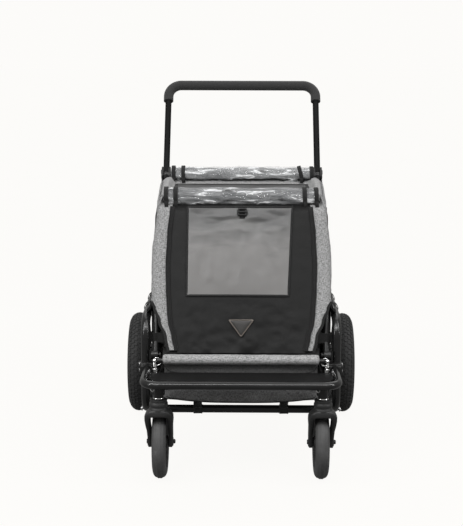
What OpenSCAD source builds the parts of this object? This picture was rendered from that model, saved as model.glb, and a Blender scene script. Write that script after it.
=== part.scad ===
// Two-wheeled child bicycle trailer in its stroller set-up, with two front casters.
// Millimetres. +X is to the right seen from the front, -Y is the front, +Z is up.
// The origin is on the ground under the middle of the whole trailer.
// Inside the modules y is measured from the rear axle; placed() moves it to the origin.

/* [Rear wheels] */
// Outer radius of a rear tyre
rear_r = 158.5; // [150:0.5:165]
// Radius of the round tyre section
rear_section_r = 28.5; // [24:0.5:30]
// Distance of a rear wheel's middle plane from the centre line
rear_x = 327; // [326:1:337]
// Number of spokes in a rear wheel
spokes = 6; // [5:1:8]
// Number of notches in a brake disc
notches = 12; // [12:12:24]

/* [Casters] */
// Outer radius of a caster tyre
caster_r = 100; // [90:1:102]
// Width of a caster tyre
caster_w = 38; // [30:1:38]
// Distance of a caster's stem from the centre line
caster_x = 218; // [214:1:222]
// Distance from the rear axle forward to a caster's stem
caster_stem_run = 715; // [705:1:720]
// Distance of a caster's axle behind its stem
caster_trail = 65; // [55:1:68]

/* [Frame] */
// Distance of a side loop's middle plane from the centre line
loop_x = 263; // [261:0.5:265]
// Radius of the side loop tube
loop_r = 12.5; // [11:0.5:12.5]
// Height of a side loop's lower rail
loop_low = 160; // [158:1:162]
// Height of a side loop's upper rail
loop_high = 420; // [410:1:422]
// Bend radius of the side loops
loop_bend = 50; // [40:1:60]

/* [Hoops] */
// Radius of the front hoop's tube
front_hoop_r = 9; // [8:0.5:9]
// Length of the front hoop from its pivots to its top bar
front_hoop_len = 449; // [446:1:450]
// Lean of the front hoop backwards from vertical
front_hoop_lean = 22.2; // [22:0.1:22.4]
// Radius of the rear hoop's tube
rear_hoop_r = 10; // [9:0.5:10]
// Radius of the cover rolled up over the front hoop
front_roll_r = 30; // [26:1:30]
// Radius of the cover rolled up over the rear hoop
rear_roll_r = 28; // [24:1:28]

/* [Handle] */
// Radius of the handle tube
handle_r = 10; // [9:0.5:10]
// Radius of the foam grip
grip_r = 16; // [14:0.5:17]
// Length of the handle from its hinge to the grip's centre
handle_len = 322; // [300:1:330]
// Lean of the handle backwards from vertical
handle_lean = 32; // [25:1:36]

/* [Bumper] */
// Radius of the bumper tube
bumper_r = 11; // [10:0.5:12]
// Distance of the bumper's arms from the centre line
bumper_x = 256; // [254:1:258]
// Distance from the rear axle forward to the bumper's front tube
bumper_run = 765; // [760:1:770]

/* [Fabric] */
// Thickness of the cover fabric
cloth = 3; // [2:0.5:3]
// Half of the cover's width at the front
cover_front_x = 250.5; // [250:0.5:252]
// Half of the cover's width at the back
cover_rear_x = 258; // [257:0.5:259]

/* [Hidden] */
$fn = 48;

// Places that several modules share, with y measured from the rear axle
origin_y = 240.5;
axle_z = rear_r;
caster_y = -caster_stem_run;
bumper_y = -bumper_run;
bumper_z = 288;
loop_front_y = -565;
loop_rear_y = 150;
front_cross_y = -540;
front_foot = [235, -570, 322];
front_top = front_foot + front_hoop_len * [0, sin(front_hoop_lean), cos(front_hoop_lean)];
rear_foot = [244, 80, 450];
rear_bar_z = 756;
hinge_x = 244;
hinge_y = 108;
hinge_z = 762;
grip_reach = 60;
brake_y = 70;
brake_z = 190;
bar_y = -615;
bar_z = 317;
pin_x = 236;
pin_y = -598;
face_foot = [0, -597, 336];
face_top = [0, -436, 735];
face_run = norm(face_top - face_foot);
face_tilt = atan2(face_top.y - face_foot.y, face_top.z - face_foot.z);
gap = 0.3;
fit = 0.05;

module placed(col) {
    color(col) translate([0, origin_y, 0]) children();
}

module both_sides() {
    children();
    mirror([1, 0, 0]) children();
}

// Unit vector along v
function unit(v) = v / norm(v);

// A round rod of radius r from point a to point b; ref is any direction across it
module rod(a, b, r, ref = undef) {
    z = unit(b - a);
    across = !is_undef(ref) ? ref : abs(z.z) > 0.9 ? [1, 0, 0] : [0, 0, 1];
    x = unit(cross(across, z));
    y = cross(z, x);
    multmatrix([[x.x, y.x, z.x, a.x], [x.y, y.y, z.y, a.y], [x.z, y.z, z.z, a.z]])
        cylinder(r = r, h = norm(b - a));
}

// Distance from a corner to the start of its bend
function bend_cut(a, b, c, bend) = bend * tan(turn_at(a, b, c) / 2);

// Angle that a tube turns through at corner b
function turn_at(a, b, c) = acos(max(-1, min(1, unit(b - a) * unit(c - b))));

// The bent stretch of a tube at corner b
module tube_bend(a, b, c, r, bend) {
    along = unit(b - a);
    turn = turn_at(a, b, c);
    inward = unit(unit(c - b) - along * (unit(c - b) * along));
    centre = b - along * bend_cut(a, b, c, bend) + inward * bend;
    x = -inward;
    z = cross(x, along);
    multmatrix([
        [x.x, along.x, z.x, centre.x],
        [x.y, along.y, z.y, centre.y],
        [x.z, along.z, z.z, centre.z]
    ])
        rotate_extrude(angle = turn) translate([bend, 0]) circle(r = r);
}

// A tube through the points, which lie in one plane, bent at each inner point
module tube(points, r, bend) {
    last = len(points) - 1;
    normal = cross(unit(points[1] - points[0]), unit(points[2] - points[1]));
    for (i = [0:last - 1]) {
        a = points[i];
        b = points[i + 1];
        way = unit(b - a);
        from = i == 0 ? a : a + way * bend_cut(points[i - 1], a, b, bend);
        to = i == last - 1 ? b : b - way * bend_cut(a, b, points[i + 2], bend);
        rod(from, to, r, normal);
    }
    for (i = [1:last - 1])
        tube_bend(points[i - 1], points[i], points[i + 1], r, bend);
}

// An inverted U of tube in the XZ plane, x either side of the middle, from z0 up to z1
module upright_u(x, z0, z1, r, bend) {
    tube([[-x, 0, z0], [-x, 0, z1], [x, 0, z1], [x, 0, z0]], r, bend);
}

// A closed loop of tube, which starts in the middle of its first side
module closed_tube(points, r, bend) {
    start = (points[0] + points[1]) / 2;
    tube(concat([start], [for (i = [1:len(points) - 1]) points[i]], [points[0], start]), r, bend);
}

// A rod along X from x0 to x1
module cross_rod(x0, x1, y, z, r) {
    translate([x0, y, z]) rotate([0, 90, 0]) cylinder(r = r, h = x1 - x0);
}

// A ring around an axis along X
module cross_ring(x0, x1, y, z, outer, inner) {
    translate([x0, y, z]) rotate([0, 90, 0]) difference() {
        cylinder(r = outer, h = x1 - x0);
        translate([0, 0, -1]) cylinder(r = inner, h = x1 - x0 + 2);
    }
}

// A box between two opposite corners
module box(low, high) {
    translate(low) cube(high - low);
}

// A flat bar with round ends in the YZ plane, from x0 to x1
module link_plate(x0, x1, a, ra, b, rb) {
    way = unit([b.x - a.x, b.y - a.y]);
    side = [-way.y, way.x];
    translate([x0, 0, 0]) rotate([90, 0, 90]) linear_extrude(x1 - x0) {
        translate(a) circle(r = ra);
        translate(b) circle(r = rb);
        polygon([a + side * ra, a - side * ra, b - side * rb, b + side * rb]);
    }
}

// A thin sheet between four corners, made of a small ball at each
module sheet(corners, t) {
    hull()
        for (p = corners)
            translate(p) sphere(d = t, $fn = 16);
}

// ---------------------------------------------------------------- frame

// Rounded rectangle of tube that carries one side of the cabin and one wheel
module side_loop(side) {
    points = [
        [side * loop_x, loop_rear_y, loop_low],
        [side * loop_x, loop_front_y, loop_low],
        [side * loop_x, loop_front_y, loop_high],
        [side * loop_x, loop_rear_y, loop_high]
    ];
    placed("#161616") difference() {
        closed_tube(points, loop_r, loop_bend);
        rod([side * 240, 0, axle_z], [side * 285, 0, axle_z], 6.02);
    }
}
module side_loop_left() { side_loop(-1); }
module side_loop_right() { side_loop(1); }

module front_cross_tube() {
    placed("#1b1b1b") cross_rod(-loop_x, loop_x, front_cross_y, loop_low, 11);
}

module rear_cross_tube() {
    placed("#1b1b1b") cross_rod(-loop_x, loop_x, loop_rear_y, 320, 10);
}

// Cross tube with a blind socket for a wheel's stub axle at each end
module rear_axle_tube() {
    placed("#1b1b1b") difference() {
        cross_rod(-281, 281, 0, axle_z, 13);
        both_sides() cross_rod(225, 282, 0, axle_z, 6 + fit);
    }
}

// Button-head bolts that hold the cross tubes to the side loops
module frame_bolts() {
    placed("#8a8a8a") both_sides() {
        for (place = [[front_cross_y, loop_low], [loop_rear_y, 320]]) {
            cross_rod(loop_x + loop_r - 0.5, loop_x + loop_r + 2, place[0], place[1], 6.5);
            cross_rod(loop_x + loop_r + 2, loop_x + loop_r + 4, place[0], place[1], 4.5);
        }
    }
}

// Brackets with the pins that the front hoop swings on
module front_pivots() {
    placed("#222222") both_sides() {
        box([247.5, front_foot.y - 13, front_foot.z - 14], [252, front_foot.y + 17, front_foot.z + 14]);
        cross_rod(222, 250, front_foot.y, front_foot.z, 5);
        cross_rod(221, 225.6, front_foot.y, front_foot.z, 8);
    }
}

// Brackets on the upper rails with the pins that the rear hoop swings on
module rear_pivots() {
    placed("#222222") both_sides() {
        box([256, rear_foot.y - 16, 424], [262, rear_foot.y + 16, rear_foot.z]);
        cross_rod(256, 262, rear_foot.y, rear_foot.z, 16);
        cross_rod(230, 258, rear_foot.y, rear_foot.z, 5);
        cross_rod(227, 231, rear_foot.y, rear_foot.z, 8);
    }
}

// ---------------------------------------------------------------- front bumper and casters

// Blocks on the front legs of the side loops, each with a socket for a bumper arm and a pin hole
module bumper_clamps() {
    placed("#262626") both_sides() difference() {
        union() {
            box([240, -590, 271], [278, -549, 304]);
            box([226, -617, 271], [252, -589, 292]);
            box([224, -624, 284], [231, -608, 312]);
            cross_rod(240, 280, -576, 287, 8);
        }
        rod([bumper_x, -640, bumper_z], [bumper_x, -580, bumper_z], bumper_r + fit);
        rod([loop_x, loop_front_y, 260], [loop_x, loop_front_y, 310], loop_r + fit);
        rod([pin_x, pin_y, 265], [pin_x, pin_y, 310], 4 + fit);
    }
}

// U-shaped tube that runs round the front and back to the clamps
module bumper_tube() {
    points = [
        [-bumper_x, -580.5, bumper_z], [-bumper_x, bumper_y, bumper_z],
        [bumper_x, bumper_y, bumper_z], [bumper_x, -580.5, bumper_z]
    ];
    placed("#151515") tube(points, bumper_r, 42);
}

// Flat cover plate inside the bumper
module bumper_panel() {
    low = [-244.5, bumper_y + bumper_r + 0.5, 292];
    placed("#1c1c1d") translate(low) linear_extrude(4)
        polygon([
            [0, 34], [10, 12], [34, 0], [489 - 34, 0], [489 - 10, 12], [489, 34], [489, 92], [0, 92]
        ]);
}

// Cross tube between the bumper's arms with a vertical socket for each caster
module caster_carrier() {
    placed("#1b1b1b") difference() {
        union() {
            cross_rod(-246, 246, caster_y, 279, 9);
            both_sides() rod([caster_x, caster_y, 244], [caster_x, caster_y, 291], 13);
        }
        both_sides() rod([caster_x, caster_y, 243], [caster_x, caster_y, 285], 7 + fit);
    }
}

// Fork with its stem, bearing ring and axle, which swivels in the carrier's socket
module caster_fork(side) {
    axle_y = caster_y + caster_trail;
    placed("#232323") translate([side * caster_x, 0, 0]) {
        rod([0, caster_y, 210], [0, caster_y, 284], 7);
        rod([0, caster_y, 239], [0, caster_y, 243.5], 14);
        rod([0, caster_y, 212], [0, caster_y, 239.5], 24);
        box([-36, caster_y - 22, 204], [36, caster_y + 20, 215]);
        box([-36, caster_y - 22, 186], [36, caster_y - 14, 205]);
        for (x0 = [-36, 27])
            link_plate(x0, x0 + 9, [caster_y - 2, 196], 19, [axle_y, caster_r], 14);
        cross_rod(-38, 38, axle_y, caster_r, 5);
        cross_rod(36, 41, axle_y, caster_r, 8);
        cross_rod(-41, -36, axle_y, caster_r, 7);
    }
}
module caster_fork_left() { caster_fork(-1); }
module caster_fork_right() { caster_fork(1); }

// Tyre on a spoked hub that turns on the fork's axle
module caster_wheel(side) {
    w = caster_w / 2;
    placed("#2a2a2a") translate([side * caster_x, caster_y + caster_trail, caster_r]) rotate([0, 90, 0])
        difference() {
            union() {
                rotate_extrude() difference() {
                    union() {
                        translate([caster_r - w, 0]) circle(r = w);
                        translate([62, -13]) square([20, 26]);
                    }
                    translate([0, -30]) square([62, 60]);
                }
                cylinder(r = 17, h = 44, center = true);
                cylinder(r = 64, h = 5, center = true);
                for (a = [0:60:300])
                    rotate(a) translate([14, -4, -10]) cube([52, 8, 20]);
            }
            cylinder(r = 5 + fit, h = 60, center = true);
        }
}
module caster_wheel_left() { caster_wheel(-1); }
module caster_wheel_right() { caster_wheel(1); }

// Spring-loaded lock pin with a round head and a pull ring, which lifts out of its clamp
module quick_pin(side) {
    seat_z = 292 + gap;
    placed("#d0d0d0") translate([side * pin_x, pin_y, 0]) {
        rod([0, 0, 267], [0, 0, seat_z + 1], 4);
        rod([0, 0, seat_z], [0, 0, seat_z + 5], 7.5);
        translate([0, 0, seat_z + 5]) cylinder(r1 = 7, r2 = 4.5, h = 11);
        translate([0, 0, seat_z + 20]) sphere(r = 6.5);
        translate([-side * 7, -2, seat_z + 18]) rotate([90, 0, 0])
            rotate_extrude() translate([10.5, 0]) circle(r = 1.2, $fn = 24);
    }
}
module quick_pin_left() { quick_pin(-1); }
module quick_pin_right() { quick_pin(1); }

// ---------------------------------------------------------------- rear wheels and brake

// Axle that plugs into the frame and carries a wheel, with a socket for its release button
module stub_axle(side) {
    placed("#b8b8b8") scale_x(side) difference() {
        union() {
            cross_rod(226, 360, 0, axle_z, 6);
            cross_rod(281.3, 284, 0, axle_z, 10);
        }
        cross_rod(354, 361, 0, axle_z, 4 + fit);
    }
}
module stub_axle_left() { stub_axle(-1); }
module stub_axle_right() { stub_axle(1); }

// Mirrors its children to the left when side is -1
module scale_x(side) {
    if (side < 0) mirror([1, 0, 0]) children();
    else children();
}

// Push button in the end of an axle
module hub_button(side) {
    placed("#3a3a3a") scale_x(side) cross_rod(357, 362.5, 0, axle_z, 4);
}
module hub_button_left() { hub_button(-1); }
module hub_button_right() { hub_button(1); }

module tyre(side) {
    placed("#232323") translate([side * rear_x, 0, axle_z]) rotate([0, 90, 0])
        rotate_extrude() difference() {
            translate([rear_r - rear_section_r, 0]) circle(r = rear_section_r);
            translate([0, -40]) square([106, 80]);
        }
}
module tyre_left() { tyre(-1); }
module tyre_right() { tyre(1); }

// Moulded rim with spokes, pressed on the hub
module rim(side) {
    placed("#1f1f1f") translate([side * rear_x, 0, axle_z]) rotate([0, 90, 0]) difference() {
        union() {
            rotate_extrude() translate([94, -17]) square([12, 34]);
            cylinder(r = 31, h = 34, center = true);
            for (i = [0:spokes - 1])
                rotate(i * 360 / spokes) translate([26, -6, -8]) cube([70, 12, 16]);
        }
        cylinder(r = 20, h = 60, center = true);
    }
}
module rim_left() { rim(-1); }
module rim_right() { rim(1); }

// Hub with its end cap on the outside and a notched brake disc on the inside
module hub(side) {
    disc_r = 58;
    placed("#303030") scale_x(side) difference() {
        union() {
            cross_rod(284.5, 353, 0, axle_z, 20);
            cross_rod(353, 359, 0, axle_z, 16);
            cross_rod(284.5, 291.5, 0, axle_z, disc_r);
        }
        cross_rod(280, 366, 0, axle_z, 6 + fit);
        translate([0, 0, axle_z])
            for (i = [0:notches - 1])
                rotate([i * 360 / notches, 0, 0])
                    box([284, 49, -5.4], [292, disc_r + 2, 5.4]);
    }
}
module hub_left() { hub(-1); }
module hub_right() { hub(1); }

// Two plates on the axle tube that hold the brake rod
module brake_brackets() {
    placed("#222222") both_sides() difference() {
        link_plate(197, 205, [0, axle_z], 18, [brake_y, brake_z], 12);
        cross_rod(190, 210, brake_y, brake_z, 6 + fit);
    }
}

// Rod with a foot pedal in the middle and an arm with a lock pin at each end
module brake_pedal() {
    release = 18;
    arm = [54 - brake_y, axle_z - brake_z];
    lock_pin = [
        brake_y + arm.x * cos(release) - arm.y * sin(release),
        brake_z + arm.x * sin(release) + arm.y * cos(release)
    ];
    placed("#1d1d1d") {
        cross_rod(-283, 283, brake_y, brake_z, 6);
        cross_rod(28, 112, brake_y, brake_z, 9);
        box([30, brake_y, brake_z - 6], [110, brake_y + 64, brake_z + 1]);
        both_sides() {
            link_plate(277.5, 282.5, [brake_y, brake_z], 9, lock_pin, 6);
            cross_rod(282, 291, lock_pin.x, lock_pin.y, 3.5);
        }
    }
}

// ---------------------------------------------------------------- cabin

// Tube across the front of the footwell, between the bumper clamps
module foot_bar() {
    placed("#1b1b1b") cross_rod(-228, 228, bar_y, bar_z, 7);
}

// Padded sleeve on the foot bar
module bolster() {
    placed("#8b8b8d") cross_ring(-207, 207, bar_y, bar_z, 17.5, 7 + fit);
}

// Fabric floor with the footwell's front wall
module floor_tray() {
    placed("#6f6f71") {
        sheet([[-212, -588, 186.5], [212, -588, 186.5], [-212, -612, 296], [212, -612, 296]], cloth);
        box([-212, -588, 185], [212, -520, 188]);
        box([-246, -528, 185], [246, -25, 188]);
        box([-190, -26, 185], [190, 40, 188]);
    }
}

// Straps round the front cross tube that hold the floor down
module velcro_straps() {
    placed("#101010")
        for (x = [-120, 120])
            cross_ring(x - 12.5, x + 12.5, front_cross_y, loop_low, 14, 11 + gap);
}

module lower_side(side) {
    placed("#77777a") scale_x(side) box([248.6, -528, 189], [250.1, 45, 432]);
}
module lower_side_left() { lower_side(-1); }
module lower_side_right() { lower_side(1); }

// Side of the cover, which wraps round to the front face as a strip beside the door
module side_panel(side) {
    top_x = cover_front_x - 4;
    strip = [[184, 4], [200, 4], [232, 112], [250, 112], [242.5, 430], [198.5, 430], [198.5, 112]];
    placed("#8b8b8d") scale_x(side) {
        sheet([
            [cover_front_x, -556, 440], [top_x, -436, 738],
            [cover_rear_x, 92, 738], [cover_rear_x, 58, 446]
        ], cloth);
        on_face() translate([0, 0, -cloth]) linear_extrude(cloth - 0.4) polygon(strip);
    }
}
module side_panel_left() { side_panel(-1); }
module side_panel_right() { side_panel(1); }

// Puts flat children on the sloping front face: X across, Y up the face, Z outwards
module on_face() {
    translate(face_foot) rotate([90 - face_tilt, 0, 0]) children();
}

module door_panel() {
    edge = [[178, 0], [196, 114], [197, 238], [194, 428]];
    left = [for (i = [3:-1:0]) [-edge[i].x, edge[i].y]];
    placed("#141415") on_face() translate([0, 0, -cloth]) linear_extrude(cloth) polygon(concat(edge, left));
}

module window_panel() {
    outline = [[-150, 156], [134, 156], [142, 410], [-150, 410]];
    placed("#868482") on_face() translate([0, 0, gap]) linear_extrude(1) polygon(outline);
}

// Plain triangular badge, point down
module badge() {
    placed("#6b645a") on_face() translate([0, 0, gap]) linear_extrude(2)
        polygon([[-36, 90], [36, 90], [0, 40]]);
}

module roof_panel() {
    placed("#3a3a3c") sheet([[-212, -366, 748], [212, -366, 748], [232, 48, 750], [-232, 48, 750]], cloth);
}

module rear_panel() {
    placed("#232325") {
        sheet([[-248, 96, 475], [248, 96, 475], [248, 96, 720], [-248, 96, 720]], cloth);
        sheet([[-224, 96, 475], [224, 96, 475], [224, 50, 215], [-224, 50, 215]], cloth);
    }
}

module seat_base() {
    low = [-183, -318, 246];
    high = [183, -72, 252];
    placed("#2b2b2d")
        hull()
            for (x = [low.x, high.x], y = [low.y, high.y], z = [low.z, high.z])
                translate([x, y, z]) sphere(r = 12, $fn = 16);
}

// Point in front of the backrest: s runs up it from 0 to 1, off is the distance from its middle
function back_point(x, s, off) = [x, -46 + 88 * s - off * 0.969, 288 + 342 * s + off * 0.249];

module seat_back() {
    placed("#2b2b2d") sheet([for (x = [-180, 180], s = [0, 1]) back_point(x, s, 0)], 24);
}

// Two shoulder straps that meet in a buckle
module harness() {
    placed("#111111") {
        both_sides() sheet([
            back_point(48, 0.85, 15), back_point(74, 0.85, 15),
            back_point(10, 0.12, 15), back_point(36, 0.12, 15)
        ], 2.5);
        hull() for (x = [-20, 20], s = [0.06, 0.18]) translate(back_point(x, s, 19)) sphere(r = 5, $fn = 16);
    }
}

// Lug for a tow bar's cross pin, under the left lower rail
module towbar_receiver() {
    placed("#222222") difference() {
        union() {
            box([-251, -418, 125], [-227, -382, 154]);
            box([-256, -412, 144], [-249, -388, 164]);
        }
        rod([-260, -400, 137], [-220, -400, 137], 6);
    }
}

// Upright sleeve for a flag pole, on the left rear leg
module flag_holder() {
    y = loop_rear_y + loop_r + 6;
    placed("#222222") difference() {
        rod([-loop_x, y, 255], [-loop_x, y, 305], 7);
        rod([-loop_x, y, 250], [-loop_x, y, 310], 3.6);
    }
}

// ---------------------------------------------------------------- front hoop

module front_hoop_tube() {
    placed("#171717") difference() {
        union() {
            translate([0, front_foot.y, front_foot.z]) rotate([-front_hoop_lean, 0, 0])
                upright_u(front_foot.x, 0, front_hoop_len, front_hoop_r, 60);
            both_sides() cross_rod(228.5, 247.2, front_foot.y, front_foot.z, 13);
        }
        both_sides() cross_rod(215, 255, front_foot.y, front_foot.z, 5 + fit);
    }
}

// Rain cover rolled up round the top of the hoop
module front_roll() {
    placed("#b9b9bb") cross_rod(-205, 205, front_top.y, front_top.z, front_roll_r);
}

// Elastic loops that hold a rolled cover
module roll_loops(places, y, z, r) {
    placed("#101010") both_sides()
        for (x = places)
            cross_ring(x - 5, x + 5, y, z, r + 2, r + gap);
}
module front_roll_loops() { roll_loops([186, 199], front_top.y, front_top.z, front_roll_r); }

// ---------------------------------------------------------------- rear hoop and handle

module rear_hoop_tube() {
    placed("#171717") difference() {
        union() {
            cross_rod(-rear_foot.x, rear_foot.x, rear_foot.y, rear_bar_z, 9);
            both_sides() {
                rod(rear_foot, [rear_foot.x, rear_foot.y, rear_bar_z], rear_hoop_r);
                translate([rear_foot.x, rear_foot.y, rear_bar_z]) sphere(r = rear_hoop_r);
                cross_rod(232, 255.5, rear_foot.y, rear_foot.z, 13);
            }
        }
        both_sides() cross_rod(225, 260, rear_foot.y, rear_foot.z, 5 + fit);
    }
}

module rear_roll() {
    placed("#b9b9bb") cross_rod(-228, 228, rear_foot.y, rear_bar_z, rear_roll_r);
}
module rear_roll_loops() { roll_loops([196, 220], rear_foot.y, rear_bar_z, rear_roll_r); }

// Forked brackets on the rear hoop that the handle's ends turn in
module handle_hinges() {
    placed("#202020") both_sides() difference() {
        union() {
            for (x0 = [230.2, 252])
                link_plate(x0, x0 + (x0 > 250 ? 6.5 : 6), [rear_foot.y, 752], 11, [hinge_y, hinge_z], 17);
            cross_rod(230.2, 254, hinge_y, hinge_z, 5);
        }
        cross_rod(254.5, 260, hinge_y, hinge_z, 7 + fit);
    }
}

// Puts children upright in the handle's own plane, with the hinges at z = 0
module on_handle() {
    translate([0, hinge_y, hinge_z]) rotate([-handle_lean, 0, 0]) children();
}

// Push handle with a flat tongue in each hinge
module handle_tube() {
    placed("#161616") difference() {
        union() {
            on_handle() {
                upright_u(hinge_x, 20, handle_len, handle_r, 42);
                both_sides() box([hinge_x - 7.4, -9, 0], [hinge_x + 7.4, 9, 24]);
            }
            both_sides() cross_rod(hinge_x - 7.4, hinge_x + 7.4, hinge_y, hinge_z, 15);
        }
        both_sides() cross_rod(225, 265, hinge_y, hinge_z, 5 + fit);
    }
}

// Foam grip over the top of the handle
module handle_grip() {
    low = handle_len - grip_reach;
    placed("#1a1a1a") on_handle() difference() {
        upright_u(hinge_x, low, handle_len, grip_r, 42);
        upright_u(hinge_x, low - 1, handle_len, handle_r, 42);
    }
}

// Release button in the outer cheek of a handle hinge
module handle_button(side) {
    placed("#3a3a3a") scale_x(side) cross_rod(257.3, 261.3, hinge_y, hinge_z, 7);
}
module handle_button_left() { handle_button(-1); }
module handle_button_right() { handle_button(1); }

// ---------------------------------------------------------------- node switches

side_loop_left();
side_loop_right();
front_cross_tube();
rear_cross_tube();
rear_axle_tube();
frame_bolts();
front_pivots();
rear_pivots();
bumper_clamps();
bumper_tube();
bumper_panel();
caster_carrier();
foot_bar();
bolster();
floor_tray();
velcro_straps();
lower_side_left();
lower_side_right();
side_panel_left();
side_panel_right();
door_panel();
window_panel();
badge();
roof_panel();
rear_panel();
seat_base();
seat_back();
harness();
towbar_receiver();
flag_holder();
stub_axle_left();
stub_axle_right();
hub_button_left();
hub_button_right();
tyre_left();
tyre_right();
rim_left();
rim_right();
hub_left();
hub_right();
brake_brackets();
brake_pedal();
quick_pin_left();
quick_pin_right();
caster_fork_left();
caster_fork_right();
caster_wheel_left();
caster_wheel_right();
front_hoop_tube();
front_roll();
front_roll_loops();
rear_hoop_tube();
rear_roll();
rear_roll_loops();
handle_hinges();
handle_tube();
handle_grip();
handle_button_left();
handle_button_right();
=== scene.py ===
"""Child bicycle trailer in its stroller set-up: the looks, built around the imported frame.

Shape code works in millimetres measured from the rear axle, and at() turns that into the
frame's metres. +X is to the right seen from the front, -Y is the front, +Z is up.
"""
import math

import bmesh
import bpy
from mathutils import Matrix, Vector, noise


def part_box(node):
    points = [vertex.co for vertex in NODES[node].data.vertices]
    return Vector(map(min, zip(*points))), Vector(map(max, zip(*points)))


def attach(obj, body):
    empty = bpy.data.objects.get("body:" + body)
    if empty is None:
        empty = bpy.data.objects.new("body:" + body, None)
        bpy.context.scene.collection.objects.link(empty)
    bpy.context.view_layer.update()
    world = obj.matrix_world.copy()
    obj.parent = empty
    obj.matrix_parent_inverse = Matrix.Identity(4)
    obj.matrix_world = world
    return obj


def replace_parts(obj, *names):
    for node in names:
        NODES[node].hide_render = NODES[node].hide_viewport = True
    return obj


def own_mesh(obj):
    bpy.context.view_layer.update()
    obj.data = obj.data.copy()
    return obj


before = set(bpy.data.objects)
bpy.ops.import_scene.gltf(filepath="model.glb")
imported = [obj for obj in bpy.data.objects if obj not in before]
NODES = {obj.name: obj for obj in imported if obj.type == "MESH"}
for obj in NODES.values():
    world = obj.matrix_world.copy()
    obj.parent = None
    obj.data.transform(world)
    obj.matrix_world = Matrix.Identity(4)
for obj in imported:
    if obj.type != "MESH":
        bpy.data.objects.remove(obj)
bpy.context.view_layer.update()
scene = bpy.context.scene
SIDES = (("left", -1), ("right", 1))
MM = 0.001


# ---------------------------------------------------------------- frame places

def mid(node):
    """Middle of a CAD node's box, in metres."""
    low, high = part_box(node)
    return (Vector(low) + Vector(high)) / 2


AXLE_Y = mid("tyre_left").y / MM


def at(x, y, z):
    """Millimetres from the rear axle to the frame's metres."""
    return Vector((x * MM, (y + AXLE_Y) * MM, z * MM))


# ---------------------------------------------------------------- materials

class Paint:
    """A procedural material built one node at a time around a Principled shader."""

    def __init__(self, name, rough=0.5, metallic=0.0, kind="Object", **constants):
        self.mat = bpy.data.materials.new(name)
        self.mat.use_nodes = True
        self.tree = self.mat.node_tree
        self.shader = self.tree.nodes["Principled BSDF"]
        self.kind = kind
        self.shader.inputs["Roughness"].default_value = rough
        self.shader.inputs["Metallic"].default_value = metallic
        for key, value in constants.items():
            self.shader.inputs[key.replace("_", " ")].default_value = value
        self.bumps = None

    def put(self, node, key, value):
        """Links a socket, or sets a constant."""
        if isinstance(value, bpy.types.NodeSocket):
            self.tree.links.new(value, node.inputs[key])
        else:
            node.inputs[key].default_value = value

    def add(self, kind, inputs=(), **settings):
        node = self.tree.nodes.new(kind)
        for key, value in settings.items():
            setattr(node, key, value)
        for key, value in dict(inputs).items():
            self.put(node, key, value)
        return node

    def coords(self, x=1, y=1, z=1, kind=None, turn=(0, 0, 0)):
        source = self.add("ShaderNodeTexCoord").outputs[kind or self.kind]
        return self.add("ShaderNodeMapping",
                        {"Vector": source, "Scale": (x, y, z), "Rotation": turn}).outputs[0]

    def noise(self, scale, detail=3.0, rough=0.55, distortion=0.0, turn=(0, 0, 0)):
        """Noise whose scale is one number, or one each way."""
        scale = scale if hasattr(scale, "__len__") else (scale,) * 3
        return self.add("ShaderNodeTexNoise", {
            "Vector": self.coords(*scale, turn=turn), "Scale": 1.0, "Detail": detail, "Roughness": rough,
            "Distortion": distortion}).outputs["Fac"]

    def wave(self, scale, axis):
        return self.add("ShaderNodeTexWave", {"Vector": self.coords(), "Scale": scale, "Detail": 1.0},
                        bands_direction=axis).outputs["Fac"]

    def weave(self, scale):
        return self.times(self.wave(scale, "X"), self.wave(scale, "Y"))

    def maths(self, operation, a, b=0.0):
        return self.add("ShaderNodeMath", {0: a, 1: b}, operation=operation).outputs[0]

    def times(self, a, b):
        return self.maths("MULTIPLY", a, b)

    def ramp(self, value, *stops):
        node = self.add("ShaderNodeValToRGB", {"Fac": value})
        elements = node.color_ramp.elements
        while len(elements) < len(stops):
            elements.new(0.5)
        for element, (place, shade) in zip(elements, stops):
            element.position = place
            element.color = (*shade[:3], 1) if hasattr(shade, "__len__") else grey(shade)
        return node.outputs["Color"]

    def mix(self, factor, a, b):
        return self.add("ShaderNodeMix", {0: factor, 6: a, 7: b}, data_type="RGBA").outputs[2]

    def level(self, colour):
        return self.add("ShaderNodeRGBToBW", {"Color": colour}).outputs[0]

    def spread(self, value, **ends):
        inputs = {key.replace("_", " "): end for key, end in ends.items()}
        return self.add("ShaderNodeMapRange", {"Value": value, **inputs}).outputs[0]

    def link(self, value, socket):
        self.tree.links.new(value, self.shader.inputs[socket])

    def colour(self, value):
        self.link(value, "Base Color")

    def roughness(self, value, low, high):
        self.link(self.spread(value, To_Min=low, To_Max=high), "Roughness")

    def bump(self, height, strength, distance):
        inputs = {"Height": height, "Strength": strength, "Distance": distance}
        if self.bumps is not None:
            inputs["Normal"] = self.bumps
        self.bumps = self.add("ShaderNodeBump", inputs).outputs[0]
        self.link(self.bumps, "Normal")


def grey(value, warm=0.0):
    return (value * (1 + warm), value, value * (1 - warm), 1)


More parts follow.
